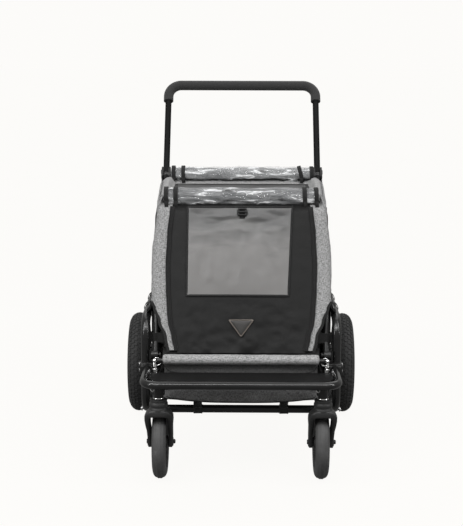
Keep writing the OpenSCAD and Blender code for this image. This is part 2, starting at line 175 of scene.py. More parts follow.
def melange(name, dark, light, kind="UV", painted_shade_heights=None):
    """Heathered woven polyester, yarns mixed both ways; the optional last argument paints shade by height,
    giving the height of full painted shade, the clear height and the depth of the painted shade.
    """
    p = Paint(name, 0.88, kind=kind, Sheen_Weight=0.12, Sheen_Roughness=0.5, Specular_IOR_Level=0.25)
    along = p.noise((110, 640, 420), 2.0, 0.6)
    across = p.noise((640, 110, 160), 2.0, 0.6)
    flecks = p.noise(430, 2.0, 0.75)
    yarns = p.maths("ADD", p.times(along, 0.34), p.times(across, 0.34))
    mixed = p.maths("ADD", yarns, p.times(flecks, 0.32))
    shade = p.ramp(mixed, (0.41, dark), (0.5, dark * 0.4 + light * 0.6), (0.57, light))
    cloth = p.mix(p.times(p.noise(7, 2.0), 0.22), shade, grey(dark * 0.8))
    # painted shade: the cloth darkens by height, standing in for shade that falls on it
    if painted_shade_heights:
        height = p.add("ShaderNodeSeparateXYZ", {"Vector": p.coords(kind="Object")}).outputs["Z"]
        painted_shade_share = p.spread(height, From_Min=painted_shade_heights[0], From_Max=painted_shade_heights[1], To_Min=painted_shade_heights[2], To_Max=0.0)
        cloth = p.mix(painted_shade_share, cloth, grey(dark * 0.7))
    p.colour(cloth)
    p.bump(p.weave(520.0), 0.35, 0.0004)
    p.bump(mixed, 0.3, 0.0006)
    p.roughness(flecks, 0.8, 0.95)
    return p.mat


def coated_cloth(name, shade, rough=0.55, kind="UV"):
    """Tightly woven nylon with a coating: fine grid, soft gloss and slow shade changes."""
    p = Paint(name, rough, kind=kind, Specular_IOR_Level=0.2)
    cloud = p.noise(9)
    yarn = p.noise((260, 900, 500), 2.0)
    p.colour(p.mix(p.times(yarn, 0.35), p.ramp(cloud, (0.3, shade * 0.8), (0.7, shade * 1.25)),
                   grey(shade * 1.6)))
    p.bump(p.weave(330.0), 0.25, 0.0005)
    p.bump(p.noise(22), 0.25, 0.003)
    p.roughness(cloud, rough - 0.1, rough + 0.12)
    return p.mat


def webbing(name, shade):
    """Ribbed polyester strap."""
    p = Paint(name, 0.75, Sheen_Weight=0.06, Specular_IOR_Level=0.3)
    p.colour(p.ramp(p.noise(300), (0.35, shade * 0.6), (0.65, shade * 1.5)))
    p.bump(p.wave(240.0, "DIAGONAL"), 0.5, 0.0006)
    return p.mat


def gloss_paint(name, shade, rough):
    """Powder-coated tube: glossy black with a faint orange peel and a few dull patches."""
    p = Paint(name, rough, Specular_IOR_Level=0.35, Coat_Weight=0.25, Coat_Roughness=0.08)
    dull = p.noise(14, 4.0)
    p.colour(p.ramp(dull, (0.3, shade * 0.8), (0.75, shade * 1.35)))
    p.roughness(dull, rough - 0.05, rough + 0.14)
    p.bump(p.noise(260, 2.0), 0.06, 0.0008)
    return p.mat


def moulded(name, shade, rough=0.5, grain=700.0, warm=0.0, gloss=0.4):
    """Injection-moulded plastic with a fine spark-eroded grain."""
    p = Paint(name, rough, Specular_IOR_Level=gloss)
    fine = p.noise(grain, 2.0)
    p.colour(p.ramp(p.noise(12), (0.3, grey(shade * 0.82, warm)), (0.7, grey(shade * 1.25, warm))))
    p.roughness(fine, rough - 0.08, rough + 0.12)
    p.bump(fine, 0.22, 0.0005)
    return p.mat


def rubber(name, shade, rough=0.72):
    """Tyre rubber with dusty, uneven patches."""
    p = Paint(name, rough, Specular_IOR_Level=0.4)
    dust = p.noise(26, 5.0, 0.7)
    p.colour(p.ramp(dust, (0.35, shade * 0.75), (0.6, shade), (0.8, shade * 1.8)))
    p.roughness(dust, rough - 0.1, rough + 0.15)
    p.bump(p.noise(500, 2.0), 0.25, 0.0004)
    return p.mat


def foam(name, shade):
    """Closed-cell foam grip: matte with small pores."""
    p = Paint(name, 0.9, Sheen_Weight=0.2)
    pores = p.add("ShaderNodeTexVoronoi",
                  {"Vector": p.coords(620, 620, 620), "Scale": 1.0}).outputs["Distance"]
    p.colour(p.ramp(pores, (0.0, shade * 0.6), (0.6, shade * 1.4)))
    p.bump(pores, 0.4, 0.0006)
    return p.mat


def bright_metal(name, shade, rough, tint=(1, 1, 1)):
    """Plated or brushed metal with fine scratches."""
    p = Paint(name, rough, 1.0)
    scratches = p.noise((60, 900, 900), 3.0, 0.7)
    p.colour(p.ramp(scratches,
                    *((place, [shade * k * t for t in tint]) for place, k in ((0.3, 0.8), (0.7, 1.0)))))
    p.roughness(scratches, rough * 0.7, rough * 1.6)
    p.bump(scratches, 0.05, 0.0003)
    return p.mat


def tinted_film(name):
    """Grey see-through window film, soft-glossed; its upper part carries painted shade, standing in for the
    shade on the cloth behind it.
    """
    p = Paint(name, 0.32, kind="UV", Specular_IOR_Level=0.4, Coat_Weight=0.15, Coat_Roughness=0.2)
    cloud = p.noise(6, 2.0)
    base = p.ramp(cloud, (0.3, (0.128, 0.125, 0.122)), (0.7, (0.152, 0.148, 0.145)))
    # painted shade: darker towards the top of the film, with a noisy edge
    height = p.add("ShaderNodeSeparateXYZ",
                   {"Vector": p.add("ShaderNodeTexCoord").outputs["UV"]}).outputs["Y"]
    drift = p.noise((9, 26, 1), 2.0, 0.5, 0.6, turn=(0, 0, 0.25))
    level = p.maths("ADD", p.times(height, 1.8), p.times(drift, 0.24))
    painted_shade_top = p.ramp(level, (0.35, 0.0), (0.42, 0.4), (0.52, 0.92))
    shade = p.mix(p.level(painted_shade_top), base, grey(0.042))
    p.colour(p.mix(p.times(p.weave(420.0), 0.2), shade, grey(0.11)))
    p.roughness(cloud, 0.26, 0.42)
    p.bump(p.noise((14, 9, 9), 2.0), 0.2, 0.004)
    return p.mat


def clear_film(name, alpha=0.25):
    """Clear rain cover: thin glossy film with long crinkles; whitish painted glints along the crinkle ridges,
    where colour lightens and alpha rises.
    """
    p = Paint(name, 0.06, Specular_IOR_Level=0.8, Coat_Weight=0.7, Coat_Roughness=0.04)
    crinkle = p.noise((13, 60, 60), 4.0, 0.6, 0.5)
    # painted glints: colour goes whitish and alpha jumps on the crinkle ridges
    p.colour(p.ramp(crinkle, (0.35, (0.5, 0.52, 0.54)), (0.65, (0.92, 0.93, 0.94))))
    painted_glint_alpha = p.ramp(crinkle, (0.4, alpha * 0.35), (0.56, alpha * 0.6), (0.64, alpha * 2.6),
                   (0.68, alpha * 0.7))
    p.link(p.level(painted_glint_alpha), "Alpha")
    p.roughness(crinkle, 0.04, 0.16)
    p.bump(crinkle, 0.9, 0.008)
    return p.mat


def hook_tape(name):
    """Hook-and-loop tape: dark fuzzy pile."""
    p = Paint(name, 0.95, Sheen_Weight=0.4)
    pile = p.noise(1100, 2.0, 0.8)
    p.colour(p.ramp(pile, (0.35, 0.006), (0.65, 0.03)))
    p.bump(pile, 0.6, 0.001)
    return p.mat


GLOSS_BLACK = gloss_paint("gloss_black_tube", 0.01, 0.14)
SATIN_BLACK = gloss_paint("satin_black_tube", 0.008, 0.36)
HANDLE_BLACK = moulded("handle_black", 0.006, 0.5, 260.0, gloss=0.08)
MOULDED_BLACK = moulded("moulded_black", 0.006, 0.42)
RIM_BLACK = moulded("rim_black", 0.008, 0.34)
FORK_BLACK = moulded("fork_black", 0.022, 0.42)
MOULDED_GREY = moulded("moulded_dark_grey", 0.045, 0.45)
PLATE_BLACK = moulded("plate_black", 0.0018, 0.45, 420.0, gloss=0.2)
TYRE_RUBBER = rubber("tyre_rubber", 0.028)
CASTER_RUBBER = rubber("caster_rubber", 0.07, 0.6)
GRIP_FOAM = foam("grip_foam", 0.0145)
CHROME = bright_metal("chrome", 0.9, 0.12)
STEEL = bright_metal("brushed_steel", 0.55, 0.32)
GREY_MELANGE = melange("grey_melange", 0.075, 0.41)
GREY_MELANGE_ROLL = melange("grey_melange_roll", 0.1, 0.42, "Object")
ROLL_CLOTH = {"front": melange("front_roll_cloth", 0.014, 0.08, "Object"),
              "rear": melange("rear_roll_cloth", 0.045, 0.22, "Object")}
# painted shade: the bolster's lower half is darker, standing in for the shade under it
BOLSTER_CLOTH = melange("bolster_cloth", 0.1, 0.42, "Object", (0.306, 0.326, 0.62))
DARK_MELANGE = melange("dark_melange", 0.028, 0.15)
# painted shadow: the footwell wall is darker at its top, standing in for the shadow under the bolster
FOOTWELL_CLOTH = melange("footwell_cloth", 0.045, 0.25, "UV", (0.3, 0.208, 0.82))
BLACK_CLOTH = coated_cloth("black_door_cloth", 0.0045, 0.5)
LINING_CLOTH = coated_cloth("black_lining", 0.01, 0.7)
SEAT_CLOTH = coated_cloth("seat_cloth", 0.03, 0.75, "Object")
STRAP = webbing("black_webbing", 0.006)
THREAD = webbing("thread", 0.05)
HOOK_TAPE = hook_tape("hook_tape")
WINDOW_FILM = tinted_film("window_film")
WINDOW_MESH = coated_cloth("side_window_mesh", 0.02, 0.45)
CLEAR_FILM = clear_film("clear_cover")
BADGE_FACE = moulded("badge_face", 0.015, 0.4, 500.0, 0.1)
ROOF_MESH = coated_cloth("roof_mesh", 0.07, 0.4)
BADGE_EDGE = bright_metal("badge_edge", 0.15, 0.4, (1.0, 0.88, 0.78))


def repaint(material, *nodes):
    """Gives CAD nodes their material."""
    for name in nodes:
        NODES[name].data.materials.clear()
        NODES[name].data.materials.append(material)


def pair(name):
    return [name + "_left", name + "_right"]


repaint(GLOSS_BLACK, *pair("side_loop"), "bumper_tube")
repaint(HANDLE_BLACK, "handle_tube")
repaint(SATIN_BLACK, "front_cross_tube", "rear_cross_tube", "rear_axle_tube", "caster_carrier",
        "foot_bar", "front_hoop_tube", "rear_hoop_tube")
repaint(MOULDED_BLACK, "front_pivots", "rear_pivots", "bumper_clamps", "brake_brackets", "brake_pedal",
        "towbar_receiver", "flag_holder", "handle_hinges", *pair("hub"), *pair("rim"), *pair("caster_fork"))
repaint(PLATE_BLACK, "bumper_panel")
repaint(MOULDED_GREY, *pair("hub_button"), *pair("handle_button"))
repaint(STEEL, "frame_bolts", *pair("stub_axle"))
repaint(CHROME, *pair("quick_pin"))
repaint(TYRE_RUBBER, *pair("tyre"))
repaint(CASTER_RUBBER, *pair("caster_wheel"))
repaint(GRIP_FOAM, "handle_grip")
repaint(GREY_MELANGE_ROLL, "bolster", *pair("side_panel"), *pair("lower_side"), "front_roll", "rear_roll")
repaint(LINING_CLOTH, "floor_tray", "roof_panel", "rear_panel", "seat_base", "seat_back", "door_panel")
repaint(WINDOW_FILM, "window_panel")
repaint(BADGE_FACE, "badge")
repaint(STRAP, "velcro_straps", "front_roll_loops", "rear_roll_loops", "harness")


# ---------------------------------------------------------------- mesh tools

def piece(name, bm, body, material, smooth_below=40.0):
    """Turns a bmesh drawn in millimetres from the rear axle into a piece that rides on a body."""
    bmesh.ops.recalc_face_normals(bm, faces=bm.faces)
    for vertex in bm.verts:
        vertex.co = at(*vertex.co)
    mesh = bpy.data.meshes.new(name)
    bm.to_mesh(mesh)
    bm.free()
    mesh.materials.append(material)
    mesh.shade_smooth()
    mesh.set_sharp_from_angle(angle=math.radians(smooth_below))
    obj = bpy.data.objects.new(name, mesh)
    scene.collection.objects.link(obj)
    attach(obj, body)
    return obj


def turns(count):
    """Angles of a full turn."""
    return [2 * math.pi * i / count for i in range(count)]


def ring(radius, sides):
    """Round profile for sweep()."""
    return [(radius * math.cos(t), radius * math.sin(t)) for t in turns(sides)]


def blunt(half_wide, half_high, sides, power_wide=0.6, power_high=0.6):
    """Profile between an oval and a box."""
    def swell(value, power):
        return math.copysign(abs(value) ** power, value)

    return [(half_wide * swell(math.cos(t), power_wide), half_high * swell(math.sin(t), power_high))
            for t in turns(sides)]


def tape(width, thick):
    """Flat strap profile for sweep(), with rounded edges."""
    w, t = width / 2, thick / 2
    return [(-w, 0), (-w + t, -t), (0, -t), (w - t, -t), (w, 0), (w - t, t), (0, t), (-w + t, t)]


def standing_tape(width, thick):
    """Strap profile whose width runs along sweep()'s up direction."""
    return [(b, a) for a, b in tape(width, thick)]


def skin(bm, rings, looped=False):
    """Faces between rings of vertices; the end rings are capped, or joined up when looped."""
    count = len(rings[0])
    for one, two in zip(rings, rings[1:] + rings[:looped]):
        for j in range(count):
            bm.faces.new((one[j], one[(j + 1) % count], two[(j + 1) % count], two[j]))
    if not looped:
        bm.faces.new(list(reversed(rings[0])))
        bm.faces.new(rings[-1])


def sweep(bm, path, profile, up=(0, 0, 1), closed=False, size=None):
    """Sweeps a closed profile of (side, up) pairs along a path."""
    path = [Vector(p) for p in path]
    last = len(path) - 1
    rings = []
    for i, place in enumerate(path):
        before = path[i - 1] if closed or i else path[0]
        after = path[(i + 1) % (last + 1)] if closed or i < last else path[last]
        tangent = (after - before).normalized()
        side = tangent.cross(Vector(up(i) if callable(up) else up)).normalized()
        top = side.cross(tangent)
        k = size(i / last) if size else 1.0
        rings.append([bm.verts.new(place + side * a * k + top * b * k) for a, b in profile])
    skin(bm, rings, closed)


def strip(name, body, material, *runs, closed=False):
    """One piece made of sweeps, each given as (path, profile, up)."""
    bm = bmesh.new()
    for path, profile, up in runs:
        sweep(bm, path, profile, up, closed)
    return piece(name, bm, body, material)


def lathe(bm, centre, profile, sides=96, upright=False, looped=True):
    """Turns (along, radius) pairs round an X or an upright axis, as a ring or with closed ends."""
    rings = []
    for along, r in profile:
        rings.append([bm.verts.new(centre + Vector((r * math.cos(a), r * math.sin(a), along) if upright
                                                   else (along, r * math.sin(a), r * math.cos(a))))
                      for a in turns(sides)])
    skin(bm, rings, looped)


def spline(points, count=8):
    """Smooth curve through the points."""
    points = [Vector(p) for p in points]
    last = len(points) - 1
    out = []
    for i in range(last):
        a, b, c, d = (points[min(max(i + k, 0), last)] for k in (-1, 0, 1, 2))
        for s in range(count):
            t = s / count
            out.append(0.5 * ((2 * b) + (c - a) * t + (2 * a - 5 * b + 4 * c - d) * t * t
                              + (3 * b - a - 3 * c + d) * t ** 3))
    return out + [points[-1]]


def steps(low, high, count):
    return [low + (high - low) * i / (count - 1) for i in range(count)]


def clamp(value, low=0.0, high=1.0):
    return min(max(value, low), high)


def ease(t):
    """Slow start and slow end, from 0 to 1."""
    return t * t * (3 - 2 * t)


def blend_at(value, stops):
    """Value between stops, [(place, value), ...], changing smoothly."""
    for (a, low), (b, high) in zip(stops, stops[1:]):
        if value <= b:
            return low + (high - low) * ease(clamp((value - a) / (b - a)))
    return stops[-1][1]


def creases(x, y, z, scale, seed=0.0):
    """Soft folds: slow noise between about -1 and 1."""
    return noise.fractal(Vector((x, y, z)) / scale + Vector((seed, seed * 1.7, -seed)), 0.6, 2.0, 3)


def outline(high, wide):
    """Row and column of each place round a grid's edge, in order."""
    edge = [(0, j) for j in range(wide)] + [(i, wide - 1) for i in range(1, high)]
    return edge + [(high - 1, j) for j in range(wide - 2, -1, -1)] + [(i, 0) for i in range(high - 2, 0, -1)]


def border(rows):
    return [rows[i][j] for i, j in outline(len(rows), len(rows[0]))]


def grid(place, across, along):
    """Rows of points: place(u, v) for each u across, at each v along."""
    return [[Vector(place(u, v)) for u in across] for v in along]


def shell(rows, thick):
    """Closed thin sheet over rows of points: front layer, back layer and rim, with UVs in metres."""
    bm = bmesh.new()
    uv = bm.loops.layers.uv.verify()
    high, wide = len(rows), len(rows[0])
    across, along = [0.0], [0.0]
    for j in range(1, wide):
        across.append(across[-1] + sum((row[j] - row[j - 1]).length for row in rows) / high * MM)
    for one, two in zip(rows, rows[1:]):
        along.append(along[-1] + sum((b - a).length for a, b in zip(one, two)) / wide * MM)
    front, back = [], []
    for i in range(high):
        front.append([])
        back.append([])
        for j in range(wide):
            du = rows[i][min(j + 1, wide - 1)] - rows[i][max(j - 1, 0)]
            dv = rows[min(i + 1, high - 1)][j] - rows[max(i - 1, 0)][j]
            front[i].append(bm.verts.new(rows[i][j]))
            back[i].append(bm.verts.new(rows[i][j] - du.cross(dv).normalized() * thick))

    def face(verts, marks):
        for loop, (i, j) in zip(bm.faces.new(verts).loops, marks):
            loop[uv].uv = (across[j], along[i])

    for i in range(high - 1):
        for j in range(wide - 1):
            marks = [(i, j), (i, j + 1), (i + 1, j + 1), (i + 1, j)]
            face([front[a][b] for a, b in marks], marks)
            face([back[a][b] for a, b in reversed(marks)], list(reversed(marks)))
    rim = outline(high, wide)
    for (i, j), (m, n) in zip(rim, rim[1:] + rim[:1]):
        face([front[i][j], back[i][j], back[m][n], front[m][n]], [(i, j), (i, j), (m, n), (m, n)])
    return bm


def sheet_piece(name, rows, thick, material, body="root"):
    """A sheet of cloth from rows of points."""
    obj = piece(name, shell(rows, thick), body, material)
    return obj


# height that soft pieces are pressed towards, and the share of their height that they keep
COVER_FOLD = (440, 0.12)
SEAT_FOLD = (275, 0.28)
BAG_FOLD = (215, 0.75)


def collapses(*objects, fold=COVER_FOLD):
    """Gives soft pieces their own copy of their mesh."""
    for obj in objects:
        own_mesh(obj)


# ---------------------------------------------------------------- front face and side covers

FACE_FOOT = Vector((0, -597, 336))
FACE_SLOPE = 0.4035
FACE_OUT = Vector((0, -1, FACE_SLOPE)).normalized()
# half widths at heights: the door's edge, the cover's outer edge, and the front strip's outer edge
DOOR_EDGE = [(336, 175.5), (373, 184), (416, 195), (442, 198), (500, 202), (557, 204), (640, 201), (717, 194),
             (745, 191)]
OUTER_EDGE = [(430, 248), (470, 248.5), (567, 251.5), (600, 251), (640, 247), (678, 242), (717, 238.5),
              (738, 235.5), (746, 232)]
STRIP_EDGE = [(334, 198), (373, 206), (416, 224), (450, 238), (468, 247)]
LINING_EDGE = [(334, 193), (373, 201), (416, 217), (450, 232), (468, 240)]
HOOP_RADIUS = 21.0
REAR_X, REAR_Y = 258.0, 78.0
HEM_FRONT, HEM_REAR = -528, 60


def face_y(z):
    return FACE_FOOT.y + FACE_SLOPE * (z - FACE_FOOT.z)


def on_face(x, z, out=0.0):
    """A point on the slanted front face, some way in front of it."""
    return Vector((x, face_y(z), z)) + FACE_OUT * out


def tucked(z):
    """How far cloth goes back where it passes under the front roll."""
    return 26.0 * (max(0.0, z - 706) / 20) ** 1.3


def cover_row(z, count=84):
    """One level of the side cover: from the door's edge round the front hoop to the rear hoop."""
    inner, outer, y = blend_at(z, DOOR_EDGE), blend_at(z, OUTER_EDGE), face_y(z)
    centre = Vector((outer - HOOP_RADIUS, y + 1 + HOOP_RADIUS, z))
    path = [Vector((inner, y, z)), centre - Vector((0, HOOP_RADIUS, 0))]
    for a in (math.radians(turn) for turn in range(15, 91, 15)):
        path.append(centre + HOOP_RADIUS * Vector((math.sin(a), -math.cos(a), 0)))
    corner = len(path) - 1
    for t in (0.12, 0.3, 0.5, 0.7, 0.88, 1.0):
        path.append(Vector((outer + (REAR_X - outer) * t, path[corner].y + (REAR_Y - path[corner].y) * t, z)))
    for a in (math.radians(turn) for turn in (30, 60, 90)):
        path.append(Vector((REAR_X - 16 + 16 * math.cos(a), REAR_Y + 16 * math.sin(a), z)))
    path.append(Vector((226, 95, z)))
    lengths = [0.0]
    for a, b in zip(path, path[1:]):
        lengths.append(lengths[-1] + (b - a).length)
    # a good share of the columns goes to the front strip and its corner
    front = count * 4 // 10
    out = []
    marks = steps(0, lengths[corner], front)[:-1]
    marks += steps(lengths[corner], lengths[-1], count - front + 1)
    for mark in marks:
        k = 0
        while k < len(path) - 2 and lengths[k + 1] < mark:
            k += 1
        out.append(path[k].lerp(path[k + 1], min((mark - lengths[k]) / (lengths[k + 1] - lengths[k]), 1.0)))
    return out


def cover_fold(x, y, z, side):
    """Soft folds of a side cover, calm along its hem."""
    return creases(x, y * 1.2, z * 0.6, 70, side * 3.0) * 1.5 * min(1.0, (z - 458) / 40)


def cover_sag(y, z):
    """How far a side cover hangs in between its two hoops."""
    return math.sin(math.pi * clamp((y + 480) / 540)) * math.sin(math.pi * (z - 450) / 300) * 6.0


def hem_x(y):
    """Half of the cover's width along its lower edge."""
    return 248.5 + 9.5 * min(1.0, (y + 523) / 600)


def hem_wave(y, z, side):
    return creases(y, z, 0, 60, side * 5.0) * (468 - z) * 0.04


def mirrored(rows, side):
    """Rows drawn for the right, flipped over to the left with their faces still outwards."""
    if side > 0:
        return rows
    return [[Vector((-p.x, p.y, p.z)) for p in reversed(row)] for row in rows]


def add_side_cover(name, side):
    """Side cover, its hem that turns out over the upper rail, and the strip beside the door."""
    rows = []
    for z in steps(466, 745, 40):
        row = []
        for p in cover_row(z):
            fold = cover_fold(p.x, p.y, p.z, side)
            if p.y < -380 and p.x < 236:
                back = min(tucked(z) * clamp((232 - p.x) / 10), 30.0)
                row.append(p + FACE_OUT * fold + Vector((0, back, 0)))
            else:
                sag = cover_sag(p.y, z) if p.x > 240 else 0.0
                row.append(p + Vector((fold - sag, 0, 0)))
        rows.append(row)
    cover = sheet_piece("side_cover_" + name, mirrored(rows, side), 1.4, GREY_MELANGE)
    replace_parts(cover, "side_panel_" + name)
    # the hem turns out over the upper rail
    levels = ((468, 0.3), (461, 0.8), (455, 1.8), (450, 3.2), (446, 5.0), (442.5, 7.2), (439.5, 9.8),
              (437, 12.5))
    rows = [[Vector((hem_x(y) + out + hem_wave(y, z, side), y, z)) for y in steps(HEM_REAR, HEM_FRONT, 60)]
            for z, out in levels]
    hem = sheet_piece("side_hem_" + name, mirrored(rows, side), 1.4, GREY_MELANGE)
    rows = [[on_face(x, z, creases(x, 0, z, 50, side) * 0.8)
             for x in steps(blend_at(z, DOOR_EDGE), blend_at(z, STRIP_EDGE), 16)]
            for z in steps(341, 468, 28)]
    flap = sheet_piece("front_strip_" + name, mirrored(rows, side), 1.4, GREY_MELANGE)
    collapses(cover, hem, flap)


for label, sign in SIDES:
    add_side_cover(label, sign)


# ---------------------------------------------------------------- door, window, zips and badge

def door_bow(x, z):
    """How far the door stands out of the front face."""
    half = blend_at(z, DOOR_EDGE) - 1.5
    return 0.6 + 7.0 * (1 - (x / half) ** 2) * math.sin(math.pi * (z - 334) / 408) * 0.6


def add_door():
    """Black door: drawn tight under the roll, with soft folds that run from the window's corners."""
    def spot(u, z):
        x = (blend_at(z, DOOR_EDGE) - 1.5) * u
        low = max(0.0, (470 - z) / 140)
        folds = creases(x + z * 0.35, z * 1.3, 1.0, 46, 2.0) * (1.4 + 2.2 * low)
        drag = creases(x * 0.5 - z * 0.9, z * 0.4, 7.0, 60, 9.0) * 1.6 * low
        calm = (1 - abs(u) ** 6) * (0.25 if abs(x) < 158 and 466 < z < 700 else 1.0)
        return on_face(x, z, door_bow(x, z) + (folds + drag) * calm) + Vector((0, tucked(z), 0))

    rows = grid(spot, steps(-1, 1, 64), steps(334, 727, 62))
    door = sheet_piece("door_cloth", rows, 1.2, BLACK_CLOTH, "front_hoop")
    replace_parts(door, "door_panel")


def window_point(u, v, out):
    """Window surface over the door: u and v from 0 to 1, following the door's bow."""
    x = -151 + (281 + 12 * v) * u
    z = FACE_FOOT.z - (157 + 253 * v) * FACE_OUT.y
    return on_face(x, z, door_bow(x, z) + out)


def add_window():
    """Tinted film, gathered towards its top, with a sewn edge of black tape."""
    def spot(u, v):
        calm = min(1.0, 8 * min(u, 1 - u), 8 * min(v, 1 - v))
        gather = creases(u * 90, v * 320, 0, 34, 4.0) * 2.6 * max(0.0, (v - 0.62) / 0.38)
        gather += creases(u * 260, v * 120, 3, 60, 8.0) * 0.9
        return window_point(u, v, 2.0 + gather * calm)

    film = sheet_piece("window_film", grid(spot, steps(0, 1, 60), steps(0, 1, 56)), 0.6, WINDOW_FILM,
                       "front_hoop")
    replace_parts(film, "window_panel")
    edge = border(grid(lambda u, v: window_point(u, v, 2.6), steps(0, 1, 26), steps(0, 1, 24)))
    strip("window_binding", "front_hoop", STRAP, (edge, tape(6, 1.4), FACE_OUT), closed=True)
    add_stitches("window_stitches", edge + edge[:1], FACE_OUT, "front_hoop", out=1.1)


def add_stitches(name, path, normal, body, spacing=5.0, out=1.0, thread=0.45):
    """A run of short raised stitches along a path."""
    runs = []
    travel, due = 0.0, spacing
    for a, b in zip(path, path[1:]):
        gap = (b - a).length
        along = (b - a).normalized()
        while gap > 1e-6 and travel + gap >= due:
            place = a + along * (due - travel)
            stitch = [place + along * spacing * k + normal * lift
                      for k, lift in ((-0.34, out - thread), (0, out), (0.34, out - thread))]
            runs.append((stitch, ring(thread, 5), normal))
            due += spacing
        travel += gap
    strip(name, body, THREAD, *runs)


def add_zip(name, side):
    """Coil zip down one edge of the door: its tape and a piping cord along each side of the coils."""
    path = [on_face(side * blend_at(z, DOOR_EDGE), z, 1.6) + Vector((0, tucked(z), 0))
            for z in steps(716, 340, 40)]
    runs = [(path, tape(13, 1.2), FACE_OUT)]
    for half in (-4.6, 4.6):
        shifted = []
        for i, p in enumerate(path):
            across = (path[min(i + 1, len(path) - 1)] - path[max(i - 1, 0)]).normalized().cross(FACE_OUT)
            shifted.append(p + across * half + FACE_OUT * 1.1)
        runs.append((shifted, ring(1.5, 8), FACE_OUT))
    strip(name, "front_hoop", STRAP, *runs)


def add_badge():
    """Plain triangular badge, point down, with a raised rim."""
    middle = Vector((0, 72))
    corners = [Vector(p) for p in ((-36, 90), (36, 90), (0, 40))]

    def triangle(share, out, corner=5.0):
        """Rounded triangle on the door, shrunk towards the badge's middle."""
        points = [middle + (p - middle) * share for p in corners]
        ends = []
        for i, b in enumerate(points):
            one, two = (b + (p - b).normalized() * corner * share
                        for p in (points[i - 1], points[(i + 1) % 3]))
            ends += [one * (1 - t) ** 2 + b * 2 * t * (1 - t) + two * t * t for t in (0, 0.33, 0.67, 1)]
        return [on_face(p.x, FACE_FOOT.z - p.y * FACE_OUT.y, 4.4 + out) for p in ends]

    layers = {"rim": [(1.0, 0), (1.0, 1.8), (0.985, 2.5), (0.93, 2.9), (0.875, 2.6), (0.86, 1.9)],
              "face": [(0.86, 1.2), (0.86, 1.9), (0.83, 2.2), (0.6, 2.7), (0.3, 2.9)]}
    for part, material in (("rim", BADGE_EDGE), ("face", BADGE_FACE)):
        bm = bmesh.new()
        skin(bm, [[bm.verts.new(p) for p in triangle(*layer)] for layer in layers[part]])
        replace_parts(piece("badge_" + part, bm, "front_hoop", material), "badge")


def add_pull_tab():
    """Small buckle with a webbing tail that holds the top of the door."""
    path = [on_face(2, z, o) for z, o in ((716, 2), (711, 5), (705, 7.5), (697, 7.5), (690, 6.5), (685, 6))]
    strip("door_tab", "front_hoop", STRAP, (spline(path, 4), tape(15, 1.8), FACE_OUT))
    half = [(11, 693), (12.5, 697), (12.5, 705), (11, 709)]
    loop = [(-11, 693)] + half + [(-x, z) for x, z in reversed(half[1:])]
    bm = bmesh.new()
    sweep(bm, [on_face(2 + x, z, 10.5) for x, z in loop], ring(2.3, 10), FACE_OUT, closed=True)
    sweep(bm, [on_face(2 + x, 701, 11.5) for x in (-12, -4, 4, 12)], ring(2.4, 10), FACE_OUT)
    piece("door_buckle", bm, "front_hoop", MOULDED_BLACK)


add_door()
add_window()
add_badge()
add_pull_tab()
for label, sign in SIDES:
    add_zip("door_zip_" + label, sign)


# ---------------------------------------------------------------- roof, rolls and rear wall

ROLLS = {
    "front": dict(y=-400.0, z=737.7, radius=30.0, half=214.0,
                  loops=(-213, -186, 178, 211), edge_turn=232, seed=3.0),
    "rear": dict(y=80.0, z=756.0, radius=28.0, half=226.0,
                 loops=(-218, -187, 190, 224), edge_turn=240, seed=21.0),
}
ROOF_FRONT = -372


def roof_dip(x, y):
    """How far the middle of the roof hangs below its shoulders, towards the rear roll."""
    k = clamp((y - ROOF_FRONT) / 260) * clamp((226 - abs(x)) / 18)
    return 23.0 * ease(k) * (1 - 0.5 * clamp((y - 38) / 26))


def roof_fold(x, y, t):
    return creases(x * 0.6, y * 1.6, 5.0, 60, 6.0) * 3.2 * math.sin(math.pi * t) ** 0.5


def add_roof():
    """Cloth between the two rolls, drawn down over the shoulders of the side covers."""
    def spot(u, t):
        half = 238 + 22 * (ease(t) * 0.3 + t * 0.7)
        x = half * u
        beside = clamp((abs(x) - 218) / 8)
        front = ROOF_FRONT - 62 * beside
        y = front + (66 + 6 * beside - front) * t
        near = max(0.0, (abs(x) - (half - 30)) / 30)
        lip = max(0.0, (-404 - y) / 30)
        sag = 9.0 * math.sin(math.pi * t) * (1 - u * u)
        fold = roof_fold(x, y, t) * (1 - near)
        return x, y, 750 - 20 * near ** 2 - 15 * lip ** 2 - sag + fold - roof_dip(x, y)

    roof = sheet_piece("roof_cloth", grid(spot, steps(-1, 1, 72), steps(0, 1, 60)), 1.4, GREY_MELANGE)
    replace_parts(roof, "roof_panel")

    def mesh_spot(x, t):
        sag = 9.0 * math.sin(math.pi * t) * (1 - (x / 240) ** 2)
        y = ROOF_FRONT + 6 + 400 * t
        return x, y, 753 - sag + roof_fold(x, ROOF_FRONT + 422 * t, t) - roof_dip(x, y)

    # dark mesh let into the roof, with a bound edge
    rows = grid(mesh_spot, steps(-206, 206, 64), steps(0, 1, 40))
    panel = sheet_piece("roof_mesh", rows, 0.8, ROOF_MESH)
    edge = [p + Vector((0, 0, 0.6)) for p in border(rows)]
    binding = strip("roof_mesh_binding", "root", STRAP, (edge, tape(10, 1.8), (0, 0, 1)), closed=True)
    collapses(roof, panel, binding)


def round_roll(spec, x, a, r):
    """A point on a roll: x along it and angle a from its top towards the back."""
    return Vector((x, spec["y"] + r * math.sin(a), spec["z"] + r * math.cos(a)))


